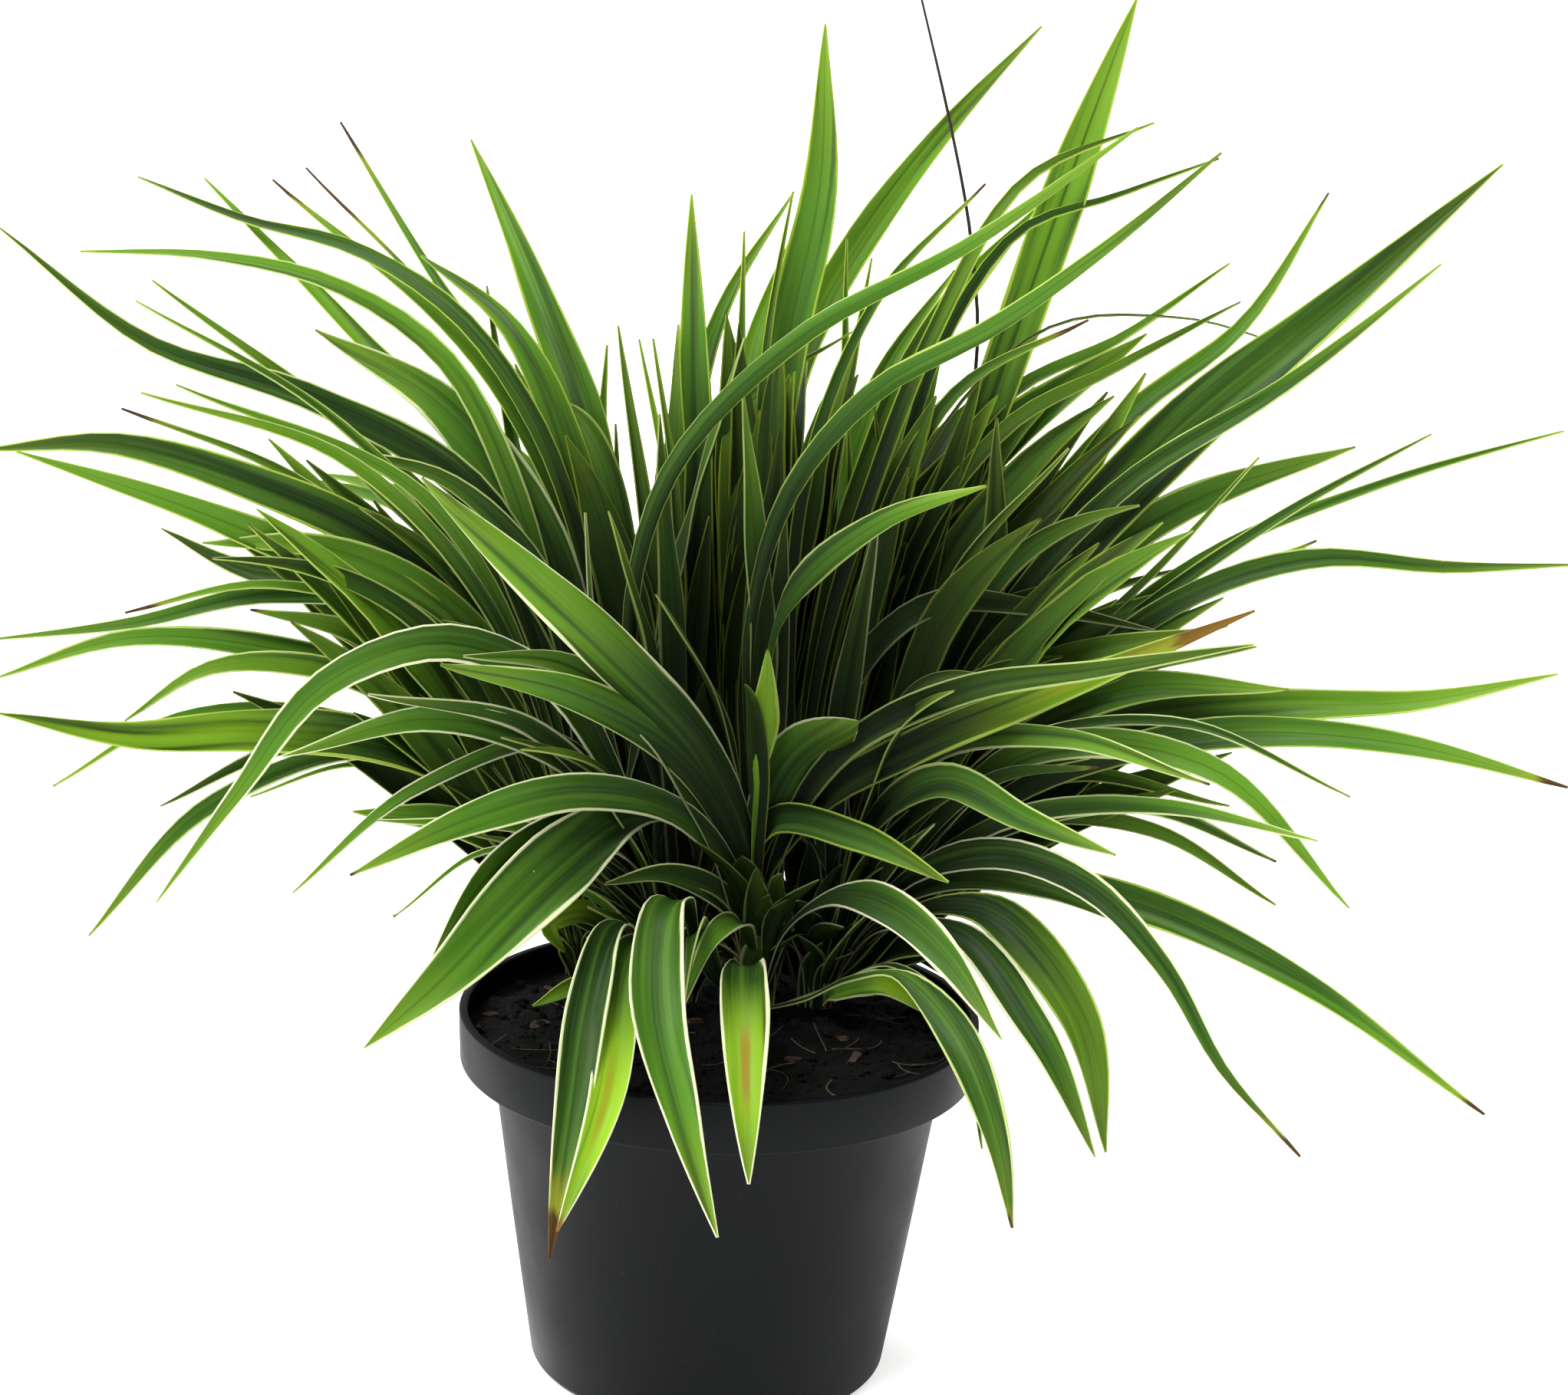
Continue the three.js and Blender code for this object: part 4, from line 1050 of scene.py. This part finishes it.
def makeSoilBed(values):
    s, p = values, potShape
    shoulder = p["height"] - p["collarHeight"]
    slope = (p["shoulderRadius"] - p["baseRadius"]) / shoulder
    ledge = shoulder + p["wall"] + s["gap"]
    wallAt = [p["baseRadius"] + slope * height - p["wall"] - s["gap"] for height in (s["bottom"], ledge)]
    collar = p["rimRadius"] - p["collarDraft"] - p["wall"] - s["gap"]
    profile = [
        (0, s["bottom"]), (wallAt[0], s["bottom"]), (wallAt[1], ledge), (collar, ledge), (collar, s["level"]),
    ]
    profile += [(collar * ring / s["rings"], s["level"]) for ring in range(s["rings"] - 1, -1, -1)]
    bed = turnProfile("peatBed", profile, s["steps"])
    top = bed.vertex_groups.new(name="top")
    topLevel, topRadius = (s["level"] - 0.1) * mm, (collar - 0.1) * mm
    inside = [v.index for v in bed.data.vertices if v.co.z > topLevel and v.co.xy.length < topRadius]
    top.add(inside, 1, "ADD")
    reliefs = (("clods", s["clodSize"], s["clodHeight"]), ("crumbs", s["crumbSize"], s["crumbHeight"]))
    for name, size, height in reliefs:
        applyModifier(bed, "DISPLACE", texture=cloudTexture(name, size), texture_coords="LOCAL",
                      direction="Z", strength=height * mm, mid_level=0.55, vertex_group="top")
    pick(bed)
    bpy.ops.object.shade_smooth_by_angle(angle=math.radians(60))
    bed.data.materials.clear()
    bed.data.materials.append(soilMaterial())
    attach(bed, "root")
    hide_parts("soil")
    say("Soil bed laid")
    return bed


def bedHeight(bed, x, y):  # of the soil's top at a place in mm
    hit, point, _, _ = bed.ray_cast(Vector((x * mm, y * mm, 0.2)), Vector((0, 0, -1)))
    return point.z if hit else soilShape["level"] * mm


def roughen(piece, amount, luck):
    for vertex in piece.data.vertices:
        vertex.co *= 1 + luck.uniform(-amount, amount)


def scatter(name, blanks, count, material, place, bed, luck):
    pieces = []
    for _ in range(count):
        radius = soilShape["scatterRadius"] * math.sqrt(luck.random())
        angle = luck.uniform(0, 2 * math.pi)
        x, y = radius * math.cos(angle), radius * math.sin(angle)
        piece = luck.choice(blanks).copy()
        piece.data = piece.data.copy()
        bpy.context.collection.objects.link(piece)
        size = place(luck)
        turn = luck.uniform(0, 6.3)
        lean = Vector((luck.uniform(-0.4, 0.4), luck.uniform(-0.4, 0.4), 1))
        spot = Vector((x * mm, y * mm, bedHeight(bed, x, y) + size.z * 0.2))
        piece.matrix_world = Matrix.LocRotScale(spot, Matrix.Rotation(turn, 3, lean).to_quaternion(), size)
        pieces.append(piece)
    joined = joinPieces(name, pieces)
    for blank in blanks:
        bpy.data.objects.remove(blank)
    joined.data.materials.clear()
    joined.data.materials.append(material)
    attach(joined, "root")
    say("Scattered:", name, count)


def makeCrumbs(bed, values, luck):
    blanks = []
    for _ in range(4):
        pickNothing()
        bpy.ops.mesh.primitive_uv_sphere_add(segments=7, ring_count=5, radius=1)
        blanks.append(bpy.context.object)
        roughen(blanks[-1], 0.22, luck)
        bpy.ops.object.shade_smooth()

    def size(luck):
        small, large = values["crumbRadius"]
        radius = small + (large - small) * luck.random() ** 3
        return Vector((luck.uniform(0.8, 1.4), luck.uniform(0.7, 1.1), luck.uniform(0.5, 0.9))) * radius * mm

    scatter("peatCrumbs", blanks, values["crumbs"], bed.data.materials[0], size, bed, luck)


def makeBark(bed, values, luck):
    blanks = []
    for _ in range(3):
        pickNothing()
        bpy.ops.mesh.primitive_cube_add(size=2)
        blanks.append(bpy.context.object)
        bpy.ops.object.mode_set(mode="EDIT")
        bpy.ops.mesh.subdivide(number_cuts=1)
        bpy.ops.object.mode_set(mode="OBJECT")
        roughen(blanks[-1], 0.3, luck)

    def size(luck):
        length = luck.uniform(1.2, 3.4)
        return Vector((length, length * luck.uniform(0.3, 0.6), luck.uniform(0.35, 0.7))) * mm

    material = fibreMaterial("Pine bark, shredded", "#0f0906", "#3a2417", 1.2)
    scatter("barkBits", blanks, values["bark"], material, size, bed, luck)


def makeRoots(bed, values, luck):
    roots = []
    for _ in range(values["roots"]):
        radius = values["rootRadius"] * math.sqrt(luck.random())
        angle = luck.uniform(0, 2 * math.pi)
        x, y = radius * math.cos(angle), radius * math.sin(angle)
        facing, turn = luck.uniform(0, 6.3), luck.uniform(-0.5, 0.5)
        pickNothing()
        bpy.ops.curve.primitive_nurbs_path_add()
        root = bpy.context.object
        spline = root.data.splines[0]
        step = luck.uniform(2.5, 6)
        for point in spline.points:
            if math.hypot(x, y) > values["rootLimit"]:
                x, y = x * 0.94, y * 0.94
            height = bedHeight(bed, x, y) / mm + luck.uniform(-0.2, 1.6)
            point.co = (x * mm, y * mm, height * mm, 1)
            facing += turn + luck.uniform(-0.5, 0.5)
            x, y = x + step * math.cos(facing), y + step * math.sin(facing)
        root.data.bevel_depth = luck.uniform(0.12, 0.3) * mm
        root.data.bevel_resolution = 1
        root.data.resolution_u = 4
        root.data.use_fill_caps = True
        bpy.ops.object.convert(target="MESH")
        roots.append(bpy.context.object)
    joined = joinPieces("fineRoots", roots)
    joined.data.materials.clear()
    joined.data.materials.append(fibreMaterial("Root fibre, dry", "#14100c", "#463b2f", 2.5))
    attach(joined, "root")
    say("Roots laid")


soilLuck = random.Random(11)
soilBed = makeSoilBed(soilShape)
makeCrumbs(soilBed, soilShape, soilLuck)
makeBark(soilBed, soilShape, soilLuck)
makeRoots(soilBed, soilShape, soilLuck)


# Floor and light

studio = {
    "floorSize": 180,                    # metres, so that its far edge is out of sight
    "floorColour": "#f7f7f5",
    "skyColour": "#ffffff",
    "skyStrength": 0.6,
    "key": {"from": (-0.45, -0.6, 1.3), "spread": 25, "power": 3.0},    # degrees, and W/m2
    "back": {"from": (-0.5, 0.6, 1.2), "spread": 40, "power": 2.2},
    "side": {"from": (-1.2, -0.3, 0.35), "spread": 25, "power": 1.1},
    "tableGlow": 0.6,
}


def floorMaterial():
    # Opal acrylic light table, lit softly from below: no gloss, a trace of tone so that it isn't flat.
    material, tree = newMaterial("Opal acrylic light table")
    place = addNode(tree, "ShaderNodeTexCoord").outputs["Object"]
    tone = addNode(tree, "ShaderNodeTexNoise", links={"Vector": place, "Scale": 2, "Detail": 2})
    ramp = addNode(tree, "ShaderNodeValToRGB", links={"Fac": tone.outputs["Fac"]})
    colour = setRamp(ramp, [(0.3, "#f5f5f3"), (0.7, studio["floorColour"])])
    skin = addNode(tree, "ShaderNodeBsdfPrincipled", links={
        "Base Color": colour, "Roughness": 0.9, "Emission Color": hexColour("#ffffff"),
        "Emission Strength": studio["tableGlow"],
    })
    addNode(tree, "ShaderNodeOutputMaterial", links={"Surface": skin.outputs["BSDF"]})
    return material


def makeFloor(values):
    pickNothing()
    bpy.ops.mesh.primitive_plane_add(size=values["floorSize"])
    floor = bpy.context.object
    floor.name = "lightTable"
    floor.data.materials.append(floorMaterial())


def makeLight(name, values):
    bpy.ops.object.light_add(type="SUN", location=values["from"])
    light = bpy.context.object
    light.name = name
    light.data.angle = math.radians(values["spread"])
    light.data.energy = values["power"]
    light.rotation_euler = (-Vector(values["from"])).to_track_quat("-Z", "Y").to_euler()


def makeSky(values):
    world = bpy.data.worlds.new("studioSky")
    world.use_nodes = True
    background = world.node_tree.nodes["Background"]
    background.inputs["Color"].default_value = hexColour(values["skyColour"])
    background.inputs["Strength"].default_value = values["skyStrength"]
    bpy.context.scene.world = world


makeFloor(studio)
makeSky(studio)
for lightName in ("key", "back", "side"):
    makeLight(lightName, studio[lightName])
bpy.context.scene.view_settings.view_transform = "Standard"
say("Studio lit")
